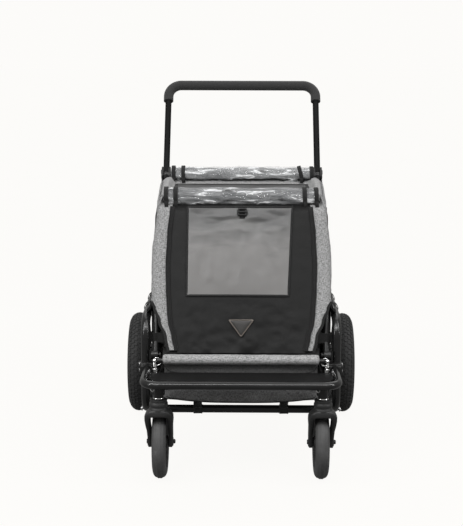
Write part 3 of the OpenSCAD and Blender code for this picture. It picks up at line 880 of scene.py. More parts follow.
def roll_surface(spec, radius, wobble, seed, count_x=150, count_t=56, sharp=False):
    """Rolled cloth round a hoop's bar: rows of points along X, each a full turn, drawn in under its loops."""
    stations = []
    for x in steps(-spec["half"], spec["half"], count_x):
        pinch = min(abs(x - place) for place in spec["loops"])
        squeeze = 1 - 0.075 * math.exp(-(pinch / 9) ** 2)
        line = []
        for a in turns(count_t):
            bulge = creases(x * 0.45, 26 * math.cos(a), 26 * math.sin(a), 34, seed)
            if sharp:
                fine = noise.noise(Vector((x / 46 + seed, 2.6 * math.cos(a), 2.6 * math.sin(a))))
                bulge += 0.9 * (1 - 2 * abs(fine)) - 0.5
            line.append(round_roll(spec, x, a, (radius + wobble * bulge) * squeeze))
        stations.append(line)
    return stations


def close_tube(bm, stations):
    """Cloth tube with dished ends and UVs along it."""
    uv = bm.loops.layers.uv.verify()
    rings = [[bm.verts.new(p) for p in line] for line in stations]
    count = len(rings[0])
    for i, (one, two) in enumerate(zip(rings, rings[1:])):
        for j in range(count):
            face = bm.faces.new((one[j], one[(j + 1) % count], two[(j + 1) % count], two[j]))
            for loop, (a, b) in zip(face.loops, ((i, j), (i, j + 1), (i + 1, j + 1), (i + 1, j))):
                loop[uv].uv = (b * 0.0033, a * 0.003)
    for row, outwards in ((rings[0], -1), (rings[-1], 1)):
        middle = sum((v.co for v in row), Vector()) / count
        inner = row
        for k, out in ((0.75, -1.0), (0.5, 1.5), (0.2, -1.0)):
            smaller = [bm.verts.new(middle + (v.co - middle) * k + Vector((outwards * out, 0, 0)))
                       for v in row]
            for j in range(count):
                bm.faces.new((inner[j], inner[(j + 1) % count], smaller[(j + 1) % count], smaller[j]))
            inner = smaller
        bm.faces.new(inner)


def add_roll(name):
    """Rolled cover: dark cloth core, clear film round it, and the elastic loops that hold it."""
    spec = ROLLS[name]
    body, radius, seed = name + "_hoop", spec["radius"], spec["seed"]
    bm = bmesh.new()
    close_tube(bm, roll_surface(spec, radius - 5.0, 1.9, seed))
    core = piece(name + "_roll_core", bm, body, ROLL_CLOTH[name])
    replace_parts(core, name + "_roll")
    # a long edge of the rolled cover lies along the lower front of the roll
    path = [round_roll(spec, x, math.radians(spec["edge_turn"]) + 0.16 * creases(x, 0, 0, 55, seed + 4),
                       radius - 2.2)
            for x in steps(-spec["half"] + 6, spec["half"] - 6, 90)]
    strip(name + "_roll_edge", body, STRAP,
          (path, tape(7, 1.6), lambda i: path[i] - round_roll(spec, path[i].x, 0, 0)))
    bm = bmesh.new()
    outer = roll_surface(spec, radius - 1.6, 2.2, seed + 11, 210, 72, sharp=True)
    inner = []
    for line in reversed(outer):
        axis = round_roll(spec, line[0].x, 0, 0)
        inner.append([axis + (p - axis) * 0.985 for p in line])
    skin(bm, [[bm.verts.new(p) for p in line] for line in outer + inner], looped=True)
    film = piece(name + "_roll_film", bm, body, CLEAR_FILM, smooth_below=60)
    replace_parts(film, name + "_roll")
    bm = bmesh.new()
    for number, x in enumerate(spec["loops"]):
        tilt = 7.0 if name == "rear" and number == 2 else 0.8
        loop = [round_roll(spec, x - tilt * math.cos(a), a, radius * (1.0 + 0.02 * math.sin(3 * a + x)))
                for a in turns(40)]
        centre = round_roll(spec, x, 0, 0)
        sweep(bm, loop, tape(12, 2.0), lambda i: loop[i] - centre, closed=True)
        knot = [centre - Vector(p) for p in ((0, radius + 1, 6), (-1, radius + 4, 14), (-2, radius + 3, 24))]
        sweep(bm, spline(knot, 5), tape(11, 2.0), (0, -1, 0))
    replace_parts(piece(name + "_roll_bands", bm, body, STRAP), name + "_roll_loops")


def add_rear_wall():
    """Upper curtain with a mesh window, and the luggage bag below it with its flap and straps."""
    def curtain(x, z, out=96.5):
        bulge = 5 * (1 - (x / 246) ** 2) * math.sin(math.pi * (z - 474) / 252)
        return x, out + bulge + creases(x, 0, z, 70, 12.0) * 1.6, z

    wall = sheet_piece("rear_curtain", grid(curtain, steps(-246, 246, 50), steps(739, 474, 31)), 1.4,
                       GREY_MELANGE)
    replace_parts(wall, "rear_panel")
    rows = grid(lambda x, z: curtain(x, z, 99.5), steps(-165, 165, 40), steps(650, 500, 22))
    window = sheet_piece("rear_window", rows, 0.8, BLACK_CLOTH)
    edge = [p + Vector((0, 0.6, 0)) for p in border(rows)]
    binding = strip("rear_window_binding", "root", STRAP, (edge, tape(9, 1.8), (0, 1, 0)), closed=True)
    collapses(wall, window, binding)

    def bag_spot(u, t):
        x, z = 226 * u, 486 - 272 * t
        belly = 34 * math.sin(math.pi * min(1, 1.15 * t)) * (1 - abs(u) ** 5)
        return x, 98 - 48 * t + belly + creases(x, 0, z, 60, 15.0) * 3.0 * (1 - abs(u) ** 4), z

    rows = grid(bag_spot, steps(-1, 1, 56), steps(0, 1, 40))
    bag = sheet_piece("rear_bag", rows, 1.4, BLACK_CLOTH)
    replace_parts(bag, "rear_panel")
    rows = [[p + Vector((0, 3.0, 0)) for p in row[3:-3]] for row in rows[:13]]
    flap = sheet_piece("rear_bag_flap", rows, 1.4, GREY_MELANGE)
    runs = [([p + Vector((0, 1.0, 0)) for p in rows[-1]], tape(8, 1.8), (0, 1, 0))]
    for x in (-120, 120):
        strap = [(x, 103, 470), (x, 118, 420), (x, 129, 380), (x, 132, 350), (x, 126, 330)]
        runs.append((spline(strap, 6), tape(22, 2.0), (0, 1, 0)))
    trim = strip("rear_bag_trim", "root", STRAP, *runs)
    collapses(bag, flap, trim, fold=BAG_FOLD)


add_roof()
for label in ROLLS:
    add_roll(label)
add_rear_wall()


# ---------------------------------------------------------------- corners, side walls and side windows

def add_corner_trim(name, side):
    """Black binding round the pointed opening in front of the hoop, and the strap round its upright."""
    edge = [on_face(side * (blend_at(z, STRIP_EDGE) + 1), z, 1.4) for z in steps(336, 466, 30)]
    down = spline([(side * x, -530, z) for x, z in ((248.6, 466), (249.2, 456), (252.6, 446), (260, 438))], 5)
    binding = strip("corner_binding_" + name, "root", STRAP, (edge, tape(8, 2.4), FACE_OUT),
                    (down, tape(8, 2.4), (0, -1, 0)))
    z = 369
    leg_y = -570 + 0.408 * (z - 322)
    wrap = [(202, -22), (214, -19), (228, -13), (240, -12), (247.5, -5), (247.5, 6), (240, 12), (230, 12),
            (216, -2), (204, -16)]
    path = spline([(side * x, leg_y + y, z) for x, y in wrap], 5)
    strap = strip("corner_strap_" + name, "root", STRAP, (path, standing_tape(28, 2.2), (0, 0, 1)))
    rows = []
    for z in steps(338, 462, 20):
        outer = blend_at(z, LINING_EDGE)
        rows.append(spline([(side * (outer + x), face_y(z) + y, z)
                            for x, y in ((-3, 3), (-1, 16), (1, 32), (5, 52), (9, 78))], 4))
    lining = sheet_piece("corner_lining_" + name, rows, 1.2, LINING_CLOTH)
    # the hem of the side cover is folded and sewn down
    hem = [(side * (hem_x(y) + 12.3 + hem_wave(y, 437, side)), y, 437)
           for y in steps(HEM_FRONT, HEM_REAR, 50)]
    piping = strip("hem_piping_" + name, "root", STRAP, (hem, ring(2.2, 8), (0, 0, 1)))
    collapses(binding, strap, lining, piping)


def add_side_window(name, side):
    """Dark mesh window in the side cover, bound with black tape."""
    def spot(u, v, out):
        z = 486 + 212 * v
        y = -404 + 388 * u + 26 * v * (1 - u)
        outer = blend_at(z, OUTER_EDGE)
        corner = face_y(z) + HOOP_RADIUS
        x = outer + (REAR_X - outer) * clamp((y - corner) / (REAR_Y - corner))
        return Vector((side * (x + cover_fold(x, y, z, side) - cover_sag(y, z) + out), y, z))

    rows = grid(lambda u, v: spot(u, v, 1.2), steps(0.02, 0.98, 30)[::side], steps(0.03, 0.97, 20))
    film = sheet_piece("side_window_" + name, rows, 0.7, WINDOW_MESH)
    bend = 0.09
    marks = []
    for u, v, start in ((1, 1, 0), (0, 1, 90), (0, 0, 180), (1, 0, 270)):
        for t in (math.radians(start + 18 * k) for k in range(6)):
            marks.append(Vector((u + (1 - 2 * u + math.cos(t)) * bend,
                                 v + (1 - 2 * v + math.sin(t)) * bend * 1.8)))
    edge = [spot(*a.lerp(b, t), 2.0) for a, b in zip(marks, marks[1:] + marks[:1])
            for t in (0, 0.25, 0.5, 0.75)]
    binding = strip("side_window_binding_" + name, "root", STRAP, (edge, tape(13, 2.0), (side, 0, 0)),
                    closed=True)
    collapses(film, binding)


def add_lower_side(name, side):
    """Side wall between the rails, laced tight with a slight belly and a bound upper edge."""
    def spot(y, z):
        k = math.sin(math.pi * (z - 190) / 243) * math.sin(math.pi * (y + 528) / 573)
        return side * (248.6 - 5.0 * k + creases(y, z, 0, 70, side * 51.0) * 0.9 * k), y, z

    rows = grid(spot, steps(-528, 45, 60)[::side], steps(190, 433, 30))
    wall = sheet_piece("side_wall_" + name, rows, 1.4, DARK_MELANGE)
    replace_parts(wall, "lower_side_" + name)
    # its upper edge, and straps from it round the upper rail
    runs = [([(side * 249.4, y, 431) for y in steps(-524, 42, 40)], standing_tape(12, 2.0), (0, 0, 1))]
    around = [(250, 408), (251, 424), (257, 433.6), (265, 434.4), (272, 433), (277.4, 424), (277.4, 416),
              (271, 407.4), (260, 404.8), (251.2, 406)]
    for y in (-400, -260, -120, 10):
        path = spline([(side * x, y, z) for x, z in around], 4)
        runs.append((path, tape(20, 1.6), lambda i: (0, 0, 1) if i < 6 else (side, 0, 0.3)))
    strip("side_wall_trim_" + name, "root", STRAP, *runs)


for label, sign in SIDES:
    add_corner_trim(label, sign)
    add_side_window(label, sign)
    add_lower_side(label, sign)


# ---------------------------------------------------------------- bolster, footwell and floor

FOOT_HALF = 209
FOOT_LOW = 188


def bolster_point(x, a, r):
    return Vector((x, -615 - r * math.sin(a), 320 + r * math.cos(a) * 0.81))


def add_bolster():
    """Padded roll on the foot bar: cloth pulled tight over foam, tucked in at its ends."""
    half = 211.5
    stations = []
    for x in steps(-half, half, 110):
        near = 1 - clamp((half - abs(x)) / 5)
        tuck = 0.84 + 0.16 * math.sqrt(1 - near ** 2)
        # drawn tight over the front, creased where the cloth goes under
        pull = 1.2 * (0.5 + 0.5 * math.sin(x / 9.0 + 2 * creases(x, 0, 0, 30)))
        stations.append([bolster_point(x, a, 17.0 * tuck - (pull if 2.2 < a < 3.6 else 0.0)
                                       + creases(x, 20 * math.cos(a), 20 * math.sin(a), 40, 31.0) * 0.8)
                         for a in turns(40)])
    bm = bmesh.new()
    close_tube(bm, stations)
    pad = piece("bolster_pad", bm, "root", BOLSTER_CLOTH)
    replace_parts(pad, "bolster")
    seam = [bolster_point(x, 2.05, 17.4) for x in steps(-200, 200, 60)]
    strip("bolster_seam", "root", THREAD, (seam, ring(1.1, 8), (0, -1, 0)))


def floor_edge(x):
    """Height of the footwell's front lower edge, which rises towards its ends."""
    return 193.5 + 15.0 * (abs(x) / 212) ** 3


def corner_back(u):
    """How far the front wall goes back at its ends."""
    return 18 * (max(0.0, abs(u) - 0.9) / 0.1) ** 2


def add_footwell():
    """Front wall of the footwell, hung from the bolster and turned under into the floor."""
    turn = 0.62

    def spot(u, t):
        edge = floor_edge(FOOT_HALF * u)
        if t < turn:
            k = t / turn
            x, z = FOOT_HALF * u, 307 + (edge - 307) * k
            belly = 7 * math.sin(math.pi * k) * (1 - u ** 4)
            fold = creases(x, 0, z * 1.4, 44, 41.0) * 2.2 * (1 - u ** 6)
            return x, -613 + 23 * k - belly + fold + corner_back(u), z
        k = (t - turn) / (1 - turn)
        x = (FOOT_HALF + 27 * min(1, k * 2.2)) * u
        y = -590 + 84 * k + corner_back(u) * (1 - k)
        z = edge + (FOOT_LOW - edge) * math.sin(math.pi / 2 * min(1, k * 1.2))
        return x, y, z + creases(x, y, 0, 60, 43.0) * 0.8 * (1 - k)

    wall = sheet_piece("footwell_front", grid(spot, steps(-1, 1, 72), steps(0, 1, 44)), 1.6, FOOTWELL_CLOTH)
    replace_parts(wall, "floor_tray")

    def floor_spot(u, y):
        x = blend_at(y, [(-60, 246), (-22, 190)]) * u
        sag = 3.0 * (1 - u * u) * math.sin(math.pi * (y + 516) / 556)
        return x, y, FOOT_LOW - 0.2 - sag + creases(x, y, 0, 90, 45.0) * 0.8

    floor = sheet_piece("floor_cloth", grid(floor_spot, steps(-1, 1, 44), steps(-516, 40, 50)), 2.0,
                        DARK_MELANGE)
    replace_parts(floor, "floor_tray")
    # curved seams in the corners of the front wall, and piping along its lower edge
    corner = [(207, -617, 303), (203, -619.5, 296), (194, -622.5, 290), (180, -624.5, 286.5),
              (164, -625, 284.5)]
    strip("footwell_seams", "root", STRAP,
          *((spline([(side * x, y, z) for x, y, z in corner], 6), ring(1.6, 8),
                                              (0, -1, 0)) for side in (-1, 1)))
    edge = [(x, -591.5 + corner_back(x / FOOT_HALF), floor_edge(x) - 0.4) for x in steps(-206, 206, 70)]
    strip("footwell_piping", "root", STRAP, (edge, ring(1.8, 8), (0, 0, 1)))


def add_hook_straps():
    """Hook-and-loop straps that tie the floor down to the front cross tube."""
    bm = bmesh.new()
    for x in (-120, 120):
        centre = Vector((x, -540, 160))
        path = [centre + Vector((0.6 * math.sin(2 * a), 12.3 * math.sin(a), 12.3 * math.cos(a)))
                for a in turns(36)]
        sweep(bm, path, tape(25, 2.2), lambda i: path[i] - centre, closed=True)
        tail = spline([(x, -553.6, 160), (x, -554.5, 171), (x, -556, 182), (x + 1, -562, 189),
                       (x, -575, 191.5)], 6)
        sweep(bm, tail, tape(24, 2.0), (0, -1, 0.2))
        loop_end = spline([(x + 1, -554.6, 152), (x + 2, -556.0, 160), (x + 2, -556.8, 168)], 5)
        sweep(bm, loop_end, tape(23, 1.6), (0, -1, 0.2))
    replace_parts(piece("hook_straps", bm, "root", HOOK_TAPE), "velcro_straps")


def add_sill():
    """Dark lining that joins the foot of the door to the bolster and closes the corners."""
    def spot(x, k):
        fold = creases(x, 0, k * 30, 40, 71.0) * 1.2
        return x, -587 - 10 * k + 4 * math.sin(math.pi * k), 346 - 24 * k + fold

    sheet_piece("sill_lining", grid(spot, steps(-214, 214, 60), steps(0, 1, 14)), 1.2, LINING_CLOTH)


add_bolster()
add_footwell()
add_hook_straps()


# ---------------------------------------------------------------- seat and harness

def cushion(name, place, half_u, half_v, thick, channels, seed):
    """Quilted pad: crowned top, sides pulled in between its corners, sewn channels and a piped seam."""
    bm = bmesh.new()
    high, wide = 48, 56
    top, low = [], []
    for i, v in enumerate(steps(-1, 1, high)):
        top.append([])
        low.append([])
        for j, u in enumerate(steps(-1, 1, wide)):
            crown = ((1 - abs(u) ** 5) * (1 - abs(v) ** 5)) ** 0.45
            dip = sum(math.exp(-((v - c) * half_v / 5.0) ** 2) for c in channels)
            h = thick * 0.5 * crown * (1 - 0.42 * min(1.0, dip))
            h += creases(u * half_u, v * half_v, 0, 55, seed) * 1.4 * crown
            x = u * half_u * (1 - 0.02 * (1 - v * v))
            y = v * half_v * (1 - 0.02 * (1 - u * u))
            top[i].append(bm.verts.new(place(x, y, h)))
            rim = i in (0, high - 1) or j in (0, wide - 1)
            low[i].append(top[i][j] if rim else bm.verts.new(place(x, y, -h * 0.55)))
    for i in range(high - 1):
        for j in range(wide - 1):
            bm.faces.new((top[i][j], top[i][j + 1], top[i + 1][j + 1], top[i + 1][j]))
            bm.faces.new((low[i][j], low[i + 1][j], low[i + 1][j + 1], low[i][j + 1]))
    seam = [top[i][j].co.copy() for i, j in outline(high, wide)]
    pad = piece(name, bm, "root", SEAT_CLOTH)
    piping = strip(name + "_piping", "root", STRAP, (seam, ring(2.0, 8), place(0, 0, 1) - place(0, 0, 0)),
                   closed=True)
    return pad, piping


def back_place(x, s, off=0.0):
    """A point on the backrest: x across, s from 0 to 1 up it, off out of its front."""
    return Vector((x, -46 + 88 * s - off * 0.968, 288 + 342 * s + off * 0.25))


def add_seat():
    """Seat cushion, backrest, and the harness with its sleeves and buckle."""
    base, _ = cushion("seat_cushion", lambda x, y, h: Vector((x, -195 + y, 249 + h)), 192, 132, 26,
                      (-0.35, 0.3), 61.0)
    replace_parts(base, "seat_base")
    back, back_piping = cushion("back_cushion", lambda x, y, h: back_place(x, 0.5 + y / 353.0, h), 188, 172,
                                24, (-0.45, 0.0, 0.45), 67.0)
    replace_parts(back, "seat_back")
    out = (0, -0.97, 0.25)
    runs = []
    for side in (-1, 1):
        belt = [(61, 0.85, 13), (52, 0.66, 15.5), (42, 0.45, 15), (32, 0.28, 16), (22, 0.13, 18)]
        sleeve = [(60, 0.83, 16), (51, 0.64, 18), (43, 0.47, 17.5)]
        for points, profile in ((belt, tape(25, 2.2)), (sleeve, tape(42, 7))):
            runs.append((spline([back_place(side * x, s, off) for x, s, off in points]), profile, out))
    crotch = spline([(0, -150, 262), (0, -110, 272), (0, -80, 296), back_place(0, 0.1, 18)])
    runs.append((crotch, tape(25, 2.2), (0, -0.7, 0.7)))
    straps = strip("harness_straps", "root", STRAP, *runs)
    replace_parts(straps, "harness")
    bm = bmesh.new()
    rings = []
    for off, k in ((12, 0.86), (14, 1.0), (21, 1.0), (24, 0.9), (25.5, 0.6)):
        lobes = [(a, k * (1 + 0.12 * math.cos(4 * a))) for a in turns(40)]
        rings.append([bm.verts.new(back_place(21 * r * math.cos(a), 0.12 + 0.058 * r * math.sin(a), off))
                      for a, r in lobes])
    skin(bm, rings)
    buckle = piece("harness_buckle", bm, "root", MOULDED_GREY)
    collapses(back, back_piping, straps, buckle, fold=SEAT_FOLD)


add_seat()


# ---------------------------------------------------------------- wheels, casters and clamps

WHEEL_RADIUS = 158.5


def add_tyre(name):
    """Pneumatic tyre with a block tread, ribbed shoulders and a bead, and the valve on its rim."""
    centre = Vector((mid("tyre_" + name).x / MM, 0, WHEEL_RADIUS))
    section = 28.5
    pitch = WHEEL_RADIUS - section
    bm = bmesh.new()
    profile = []
    for b in turns(40):
        r = section - (2.4 if math.cos(b) > math.cos(1.05) else 0.4)
        profile.append((r * math.sin(b), max(pitch + r * math.cos(b), 106.5)))
    lathe(bm, centre, profile, 120)
    for b in (1.35, 1.62, 4.66, 4.93):
        x, radial = (section - 0.4) * math.sin(b), pitch + (section - 0.4) * math.cos(b)
        lathe(bm, centre, [(x + dx, radial + dr) for dx, dr in ring(0.8, 8)], 120)

    def spot(turn, b, r):
        radial = pitch + r * math.cos(b)
        return centre + Vector((r * math.sin(b), radial * math.sin(turn), radial * math.cos(turn)))

    # blocks in five lanes: from and to across the tread, then shift, half length and slant in blocks
    lanes = ((-1.02, -0.64, 0, 0.33, 0), (-0.56, -0.2, 0.5, 0.33, 0.35), (-0.13, 0.13, 0, 0.36, 0),
             (0.2, 0.56, 0.5, 0.33, -0.35), (0.64, 1.02, 0, 0.33, 0))
    pace = 2 * math.pi / 58
    for turn in turns(58):
        for low, high, shift, half, slant in lanes:
            middle = (low + high) / 2
            block = []
            for r, k in ((section - 3.2, 1.0), (section - 0.1, 0.84)):
                block.append([bm.verts.new(spot(turn + pace * (shift + end * half * k + slant * (b - middle)),
                                                middle + (b - middle) * k, r))
                              for b, end in ((low, -1), (high, -1), (high, 1), (low, 1))])
            skin(bm, block)
    tyre = piece("tyre_tread_" + name, bm, "wheel_" + name, TYRE_RUBBER, smooth_below=35)
    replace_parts(tyre, "tyre_" + name)
    bm = bmesh.new()
    out = Vector((0, math.sin(math.radians(28)), math.cos(math.radians(28))))
    sweep(bm, [centre + out * r for r in (96, 90, 82, 74)], ring(3.2, 12), (1, 0, 0),
          size=lambda t: 1.3 - 0.5 * t)
    piece("valve_" + name, bm, "wheel_" + name, MOULDED_BLACK)


def add_spokes(bm, centre, radii, widths, shape):
    """Six spokes, waisted between the hub and the rim."""
    last = len(widths) - 1
    for turn in turns(6):
        out = Vector((0, math.sin(turn), math.cos(turn)))
        sweep(bm, [centre + out * r for r in radii], shape, (1, 0, 0), size=lambda t: widths[round(t * last)])


def add_rim(name):
    """Moulded rim: deep well, spokes that flare into it, and a stepped hub cover."""
    centre = Vector((mid("rim_" + name).x / MM, 0, WHEEL_RADIUS))
    bm = bmesh.new()
    lathe(bm, centre, [(-17, 104.5), (-17.5, 107), (-15.5, 107.6), (-13, 103), (-6, 99), (6, 99), (13, 103),
                       (15.5, 107.6), (17.5, 107), (17, 104.5), (13.5, 97), (7, 93.6), (-7, 93.6),
                       (-13.5, 97)], 120)
    lathe(bm, centre, [(-17, 21), (-17, 29), (-15, 31.5), (15, 31.5), (17, 29), (17, 21)], 72)
    add_spokes(bm, centre, (27, 34, 44, 58, 72, 84, 92, 96), (1.25, 1.05, 0.86, 0.8, 0.84, 1.0, 1.3, 1.5),
               blunt(6.6, 7.4, 20))
    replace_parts(piece("wheel_rim_" + name, bm, "wheel_" + name, RIM_BLACK), "rim_" + name)


def add_fork(bm, stem):
    """Fork of a caster, swept along x and z with its half width and half depth."""
    leg = [(27.6, 87.5, 5.2, 13), (27.8, 92, 5.8, 15.5), (28.2, 101, 6.0, 17), (28.6, 118, 6.3, 18.5),
           (28.9, 140, 6.6, 19.5), (29.8, 160, 7.0, 20.5), (30.8, 178, 7.8, 21.5), (30.0, 188, 8.6, 22.5),
           (26.0, 196, 9.8, 23.5), (19.0, 200.5, 10.8, 24), (10.0, 202, 11.4, 24), (0.0, 202.3, 11.6, 24)]
    stations = [(-x, z, w, d) for x, z, w, d in leg] + [(x, z, w, d) for x, z, w, d in reversed(leg[:-1])]
    rings = []
    for i, (x, z, w, d) in enumerate(stations):
        a = stations[max(i - 1, 0)]
        b = stations[min(i + 1, len(stations) - 1)]
        along = Vector((b[0] - a[0], 0, b[1] - a[1])).normalized()
        normal = Vector((along.z, 0, -along.x))
        centre = Vector((stem.x + x, blend_at(z, [(86, -650), (120, -653), (175, -700), (205, -716)]), z))
        rings.append([bm.verts.new(centre + normal * across + Vector((0, back, 0)))
                      for across, back in blunt(w, d, 28, 0.45, 0.5)])
    skin(bm, rings)


def add_caster(name):
    """Caster: fork with its bearings, steel ring and pin, axle, wheel, and the clip on its socket."""
    middle = mid("caster_wheel_" + name).x / MM
    stem = Vector((middle, -715, 0))
    axle = Vector((middle, -650, 100))
    bm = bmesh.new()
    add_fork(bm, stem)
    lathe(bm, stem, [(206, 18), (208, 25), (214, 25.2), (216, 23.4), (219, 23.4), (221, 24.8), (228, 24.6),
                     (230.5, 22.6), (233, 22.4), (235, 23.4), (238, 22.6), (239.6, 19)], 48, upright=True,
          looped=False)
    for x in (-33.0, 33.0):
        lathe(bm, axle + Vector((x, 0, 0)), [(-1.5, 0.5), (-1.5, 12.5), (1.0, 12.5), (2.2, 10.5), (2.2, 0.5)],
              36)
    fork = piece("caster_frame_" + name, bm, "caster_" + name, FORK_BLACK, smooth_below=50)
    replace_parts(fork, "caster_fork_" + name)
    bm = bmesh.new()
    lathe(bm, stem, [(239.3, 12.4), (239.8, 14.6), (241, 15.2), (242.9, 14.6), (243.5, 12.4)], 48,
          upright=True, looped=False)
    lathe(bm, stem, [(243, 6.8), (262, 6.8), (283, 6.8)], 48, upright=True, looped=False)
    piece("caster_ring_" + name, bm, "caster_" + name, CHROME)
    bm = bmesh.new()
    lathe(bm, axle, [(-37.5, 0.4), (-37.5, 5.6), (-36.5, 6.6), (-34, 6.8), (-34, 4.9), (34, 4.9), (34, 6.4),
                     (38.5, 6.0), (40.6, 4.6), (41, 0.4)], 24)
    piece("caster_axle_" + name, bm, "caster_" + name, MOULDED_BLACK)
    bm = bmesh.new()
    profile = []
    for b in turns(48):
        x, radial = 19.0 * math.sin(b), 81 + 19.0 * math.cos(b)
        grooved = math.cos(b) > 0.5 and min(abs(x - groove) for groove in (-8.5, 0.0, 8.5)) < 1.3
        profile.append((x, max(radial - 0.9 * grooved, 71.5)))
    lathe(bm, axle, profile)
    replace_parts(piece("caster_tyre_" + name, bm, "caster_wheel_" + name, CASTER_RUBBER),
                "caster_wheel_" + name)
    bm = bmesh.new()
    lathe(bm, axle,
          [(-13, 66), (-13.5, 71.6), (-11.5, 72.6), (11.5, 72.6), (13.5, 71.6), (13, 66), (9, 63), (-9, 63)])
    lathe(bm, axle,
          [(-21.5, 5.2), (-21.5, 12), (-19, 16), (-14, 17), (14, 17), (19, 16), (21.5, 12), (21.5, 5.2)], 48)
    add_spokes(bm, axle, (13, 22, 34, 46, 57, 66), (1.35, 1.0, 0.86, 0.9, 1.1, 1.45), blunt(4.2, 9.5, 16))
    piece("caster_hub_" + name, bm, "caster_wheel_" + name, FORK_BLACK)
    clip = [(-12, -729, 279), (-18, -733, 284), (-22, -734, 276), (-19, -733, 266), (-13, -731, 262),
            (-10, -729, 268)]
    path = spline([(middle + x, y, z) for x, y, z in clip], 6)
    strip("caster_clip_" + name, "root", CHROME, (path, ring(1.2, 8), (0, -1, 0)))


def rounded_block(bm, low, high, radius):
    """Box with rounded edges."""
    made = bmesh.ops.create_cube(bm, size=1.0)
    low, high = Vector(low), Vector(high)
    for vert in made["verts"]:
        vert.co = Vector([(low[i] + high[i]) / 2 + vert.co[i] * (high[i] - low[i]) for i in range(3)])
    edges = {e for v in made["verts"] for e in v.link_edges}
    bmesh.ops.bevel(bm, geom=list(edges), offset=radius, segments=3, affect="EDGES", profile=0.6)


def add_clamp(name, side):
    """Moulded clamp that holds the bumper tube against the side loop, with its sleeve and bolts."""
    bm = bmesh.new()
    for x0, x1, y0, y1, z0, z1, r in ((240, 278, -596, -549, 271, 304, 5),
                                      (226, 252, -614, -589, 269, 275, 2.5),
                                      (230, 252, -592, -586, 271, 300, 2.5),
                                      (244, 258, -612, -590, 284, 302, 3),
                                      (243, 275, -604, -590, 275, 300, 4)):
        near, far = sorted((side * x0, side * x1))
        rounded_block(bm, (near, y0, z0), (far, y1, z1), r)
    sweep(bm, [(side * 256, y, 288) for y in (-612, -600, -588)], ring(15, 32))
    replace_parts(piece("clamp_body_" + name, bm, "root", MOULDED_BLACK), "bumper_clamps")
    bm = bmesh.new()
    lathe(bm, Vector((side * 236, -598, 0)),
          [(275, 4.6), (275, 9.6), (279, 9.8), (281, 8.2), (284, 8.0), (286, 9.4),
                                              (290.6, 9.4), (291.6, 8.6), (291.6, 4.6)], 40, upright=True)
    piece("clamp_sleeve_" + name, bm, "root", CHROME)
    bm = bmesh.new()
    for z in (279, 296):
        lathe(bm, Vector((side * 279, -572, z)), [(-2, 0.3), (-2, 4.2), (1.2, 4.2), (1.8, 3.0), (1.8, 0.3)],
              6)
        lathe(bm, Vector((side * 278.5, -572, z)), [(-1, 0.3), (-1, 6), (0.4, 6), (0.4, 0.3)], 24)
    piece("clamp_bolts_" + name, bm, "root", STEEL)


for label, sign in SIDES:
    add_tyre(label)
    add_rim(label)
    add_caster(label)
    add_clamp(label, sign)
add_sill()


# ---------------------------------------------------------------- stage, light and camera

PALE = (1.0, 0.991, 0.972, 1)


def add_floor():
    """Pale floor that only the camera and the lamps meet; it glows as brightly as the surround."""
    mesh = bpy.data.meshes.new("floor")
    half = 90.0
    corners = [(-half, -half, 0), (half, -half, 0), (half, half, 0), (-half, half, 0)]
    mesh.from_pydata(corners, [], [(0, 1, 2, 3)])
    floor = bpy.data.objects.new("floor", mesh)
    scene.collection.objects.link(floor)
    p = Paint("pale_floor", rough=0.9, Specular_IOR_Level=0.0)
    p.colour(p.ramp(p.noise(2, 2.0), (0.3, (0.024, 0.0239, 0.0235)), (0.7, (0.026, 0.0259, 0.0255))))
    p.shader.inputs["Emission Color"].default_value = PALE
    p.shader.inputs["Emission Strength"].default_value = 0.945
    mesh.materials.append(p.mat)
    floor.visible_diffuse = False
    floor.visible_glossy = False


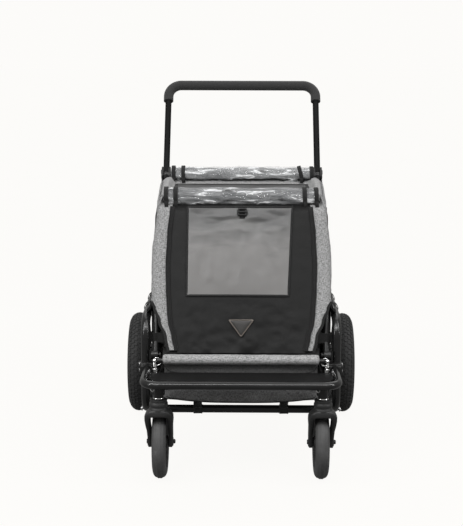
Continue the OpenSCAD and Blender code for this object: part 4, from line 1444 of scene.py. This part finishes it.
def add_surround():
    """Even pale surround for the camera; the object sees a dimmer, softer studio that is brighter above."""
    world = bpy.data.worlds.new("surround")
    world.use_nodes = True
    tree = world.node_tree
    background = tree.nodes["Background"]
    background.inputs["Color"].default_value = PALE
    seen = tree.nodes.new("ShaderNodeLightPath").outputs["Is Camera Ray"]
    upward = tree.nodes.new("ShaderNodeSeparateXYZ")
    tree.links.new(tree.nodes.new("ShaderNodeTexCoord").outputs["Generated"], upward.inputs[0])
    glow = tree.nodes.new("ShaderNodeMapRange")
    for socket, value in (("From Min", -0.35), ("From Max", 0.35), ("To Min", 0.2), ("To Max", 0.37)):
        glow.inputs[socket].default_value = value
    tree.links.new(upward.outputs["Z"], glow.inputs["Value"])
    level = tree.nodes.new("ShaderNodeMapRange")
    level.inputs["To Max"].default_value = 0.975
    tree.links.new(glow.outputs[0], level.inputs["To Min"])
    tree.links.new(seen, level.inputs["Value"])
    tree.links.new(level.outputs[0], background.inputs["Strength"])
    scene.world = world


def add_sun(name, towards, strength, spread):
    """Large soft light from far away, so the floor is lit evenly."""
    light = bpy.data.lights.new(name, "SUN")
    light.energy = strength
    light.angle = math.radians(spread)
    lamp = bpy.data.objects.new(name, light)
    lamp.rotation_euler = Vector(towards).to_track_quat("Z", "Y").to_euler()
    scene.collection.objects.link(lamp)


def add_softbox(name, place, target, size, power):
    """Narrow lit panel near the object, for long highlights on tubes and film."""
    light = bpy.data.lights.new(name, "AREA")
    light.shape = "RECTANGLE"
    light.size, light.size_y = size
    light.energy = power
    lamp = bpy.data.objects.new(name, light)
    lamp.location = place
    lamp.rotation_euler = (Vector(target) - Vector(place)).to_track_quat("-Z", "Y").to_euler()
    scene.collection.objects.link(lamp)


def add_camera():
    """Camera in front of the trailer, a little above its handle and looking slightly down."""
    camera = bpy.data.cameras.new("camera")
    focal_in_heights = 2.33517
    camera.sensor_width = 36
    camera.lens = focal_in_heights * camera.sensor_width
    camera.clip_end = 200
    eye = bpy.data.objects.new("camera", camera)
    eye.location = at(0, -3863, 1141.5)
    yaw, pitch, roll = (math.radians(angle) for angle in (0.467, 90 - 9.69, 0.16))
    turn = Matrix.Rotation(yaw, 3, "Z") @ Matrix.Rotation(pitch, 3, "X") @ Matrix.Rotation(roll, 3, "Z")
    eye.rotation_euler = turn.to_euler()
    scene.collection.objects.link(eye)
    scene.camera = eye


add_floor()
add_surround()
add_sun("sun_left", (-0.55, -0.9, 1.1), 1.3, 40)
add_sun("sun_right", (0.6, -0.7, 1.25), 1.0, 50)
add_sun("sun_back", (0.1, 0.8, 1.3), 0.8, 60)
add_softbox("strip_left", (-2.2, -1.6, 1.7), (0, -0.2, 0.4), (0.18, 2.6), 26)
add_softbox("strip_right", (2.3, -1.3, 1.8), (0, -0.2, 0.4), (0.18, 2.6), 22)
add_softbox("strip_high", (0, -2.4, 2.6), (0, -0.3, 0.4), (3.0, 0.18), 22)
add_camera()
scene.view_settings.view_transform = "Standard"
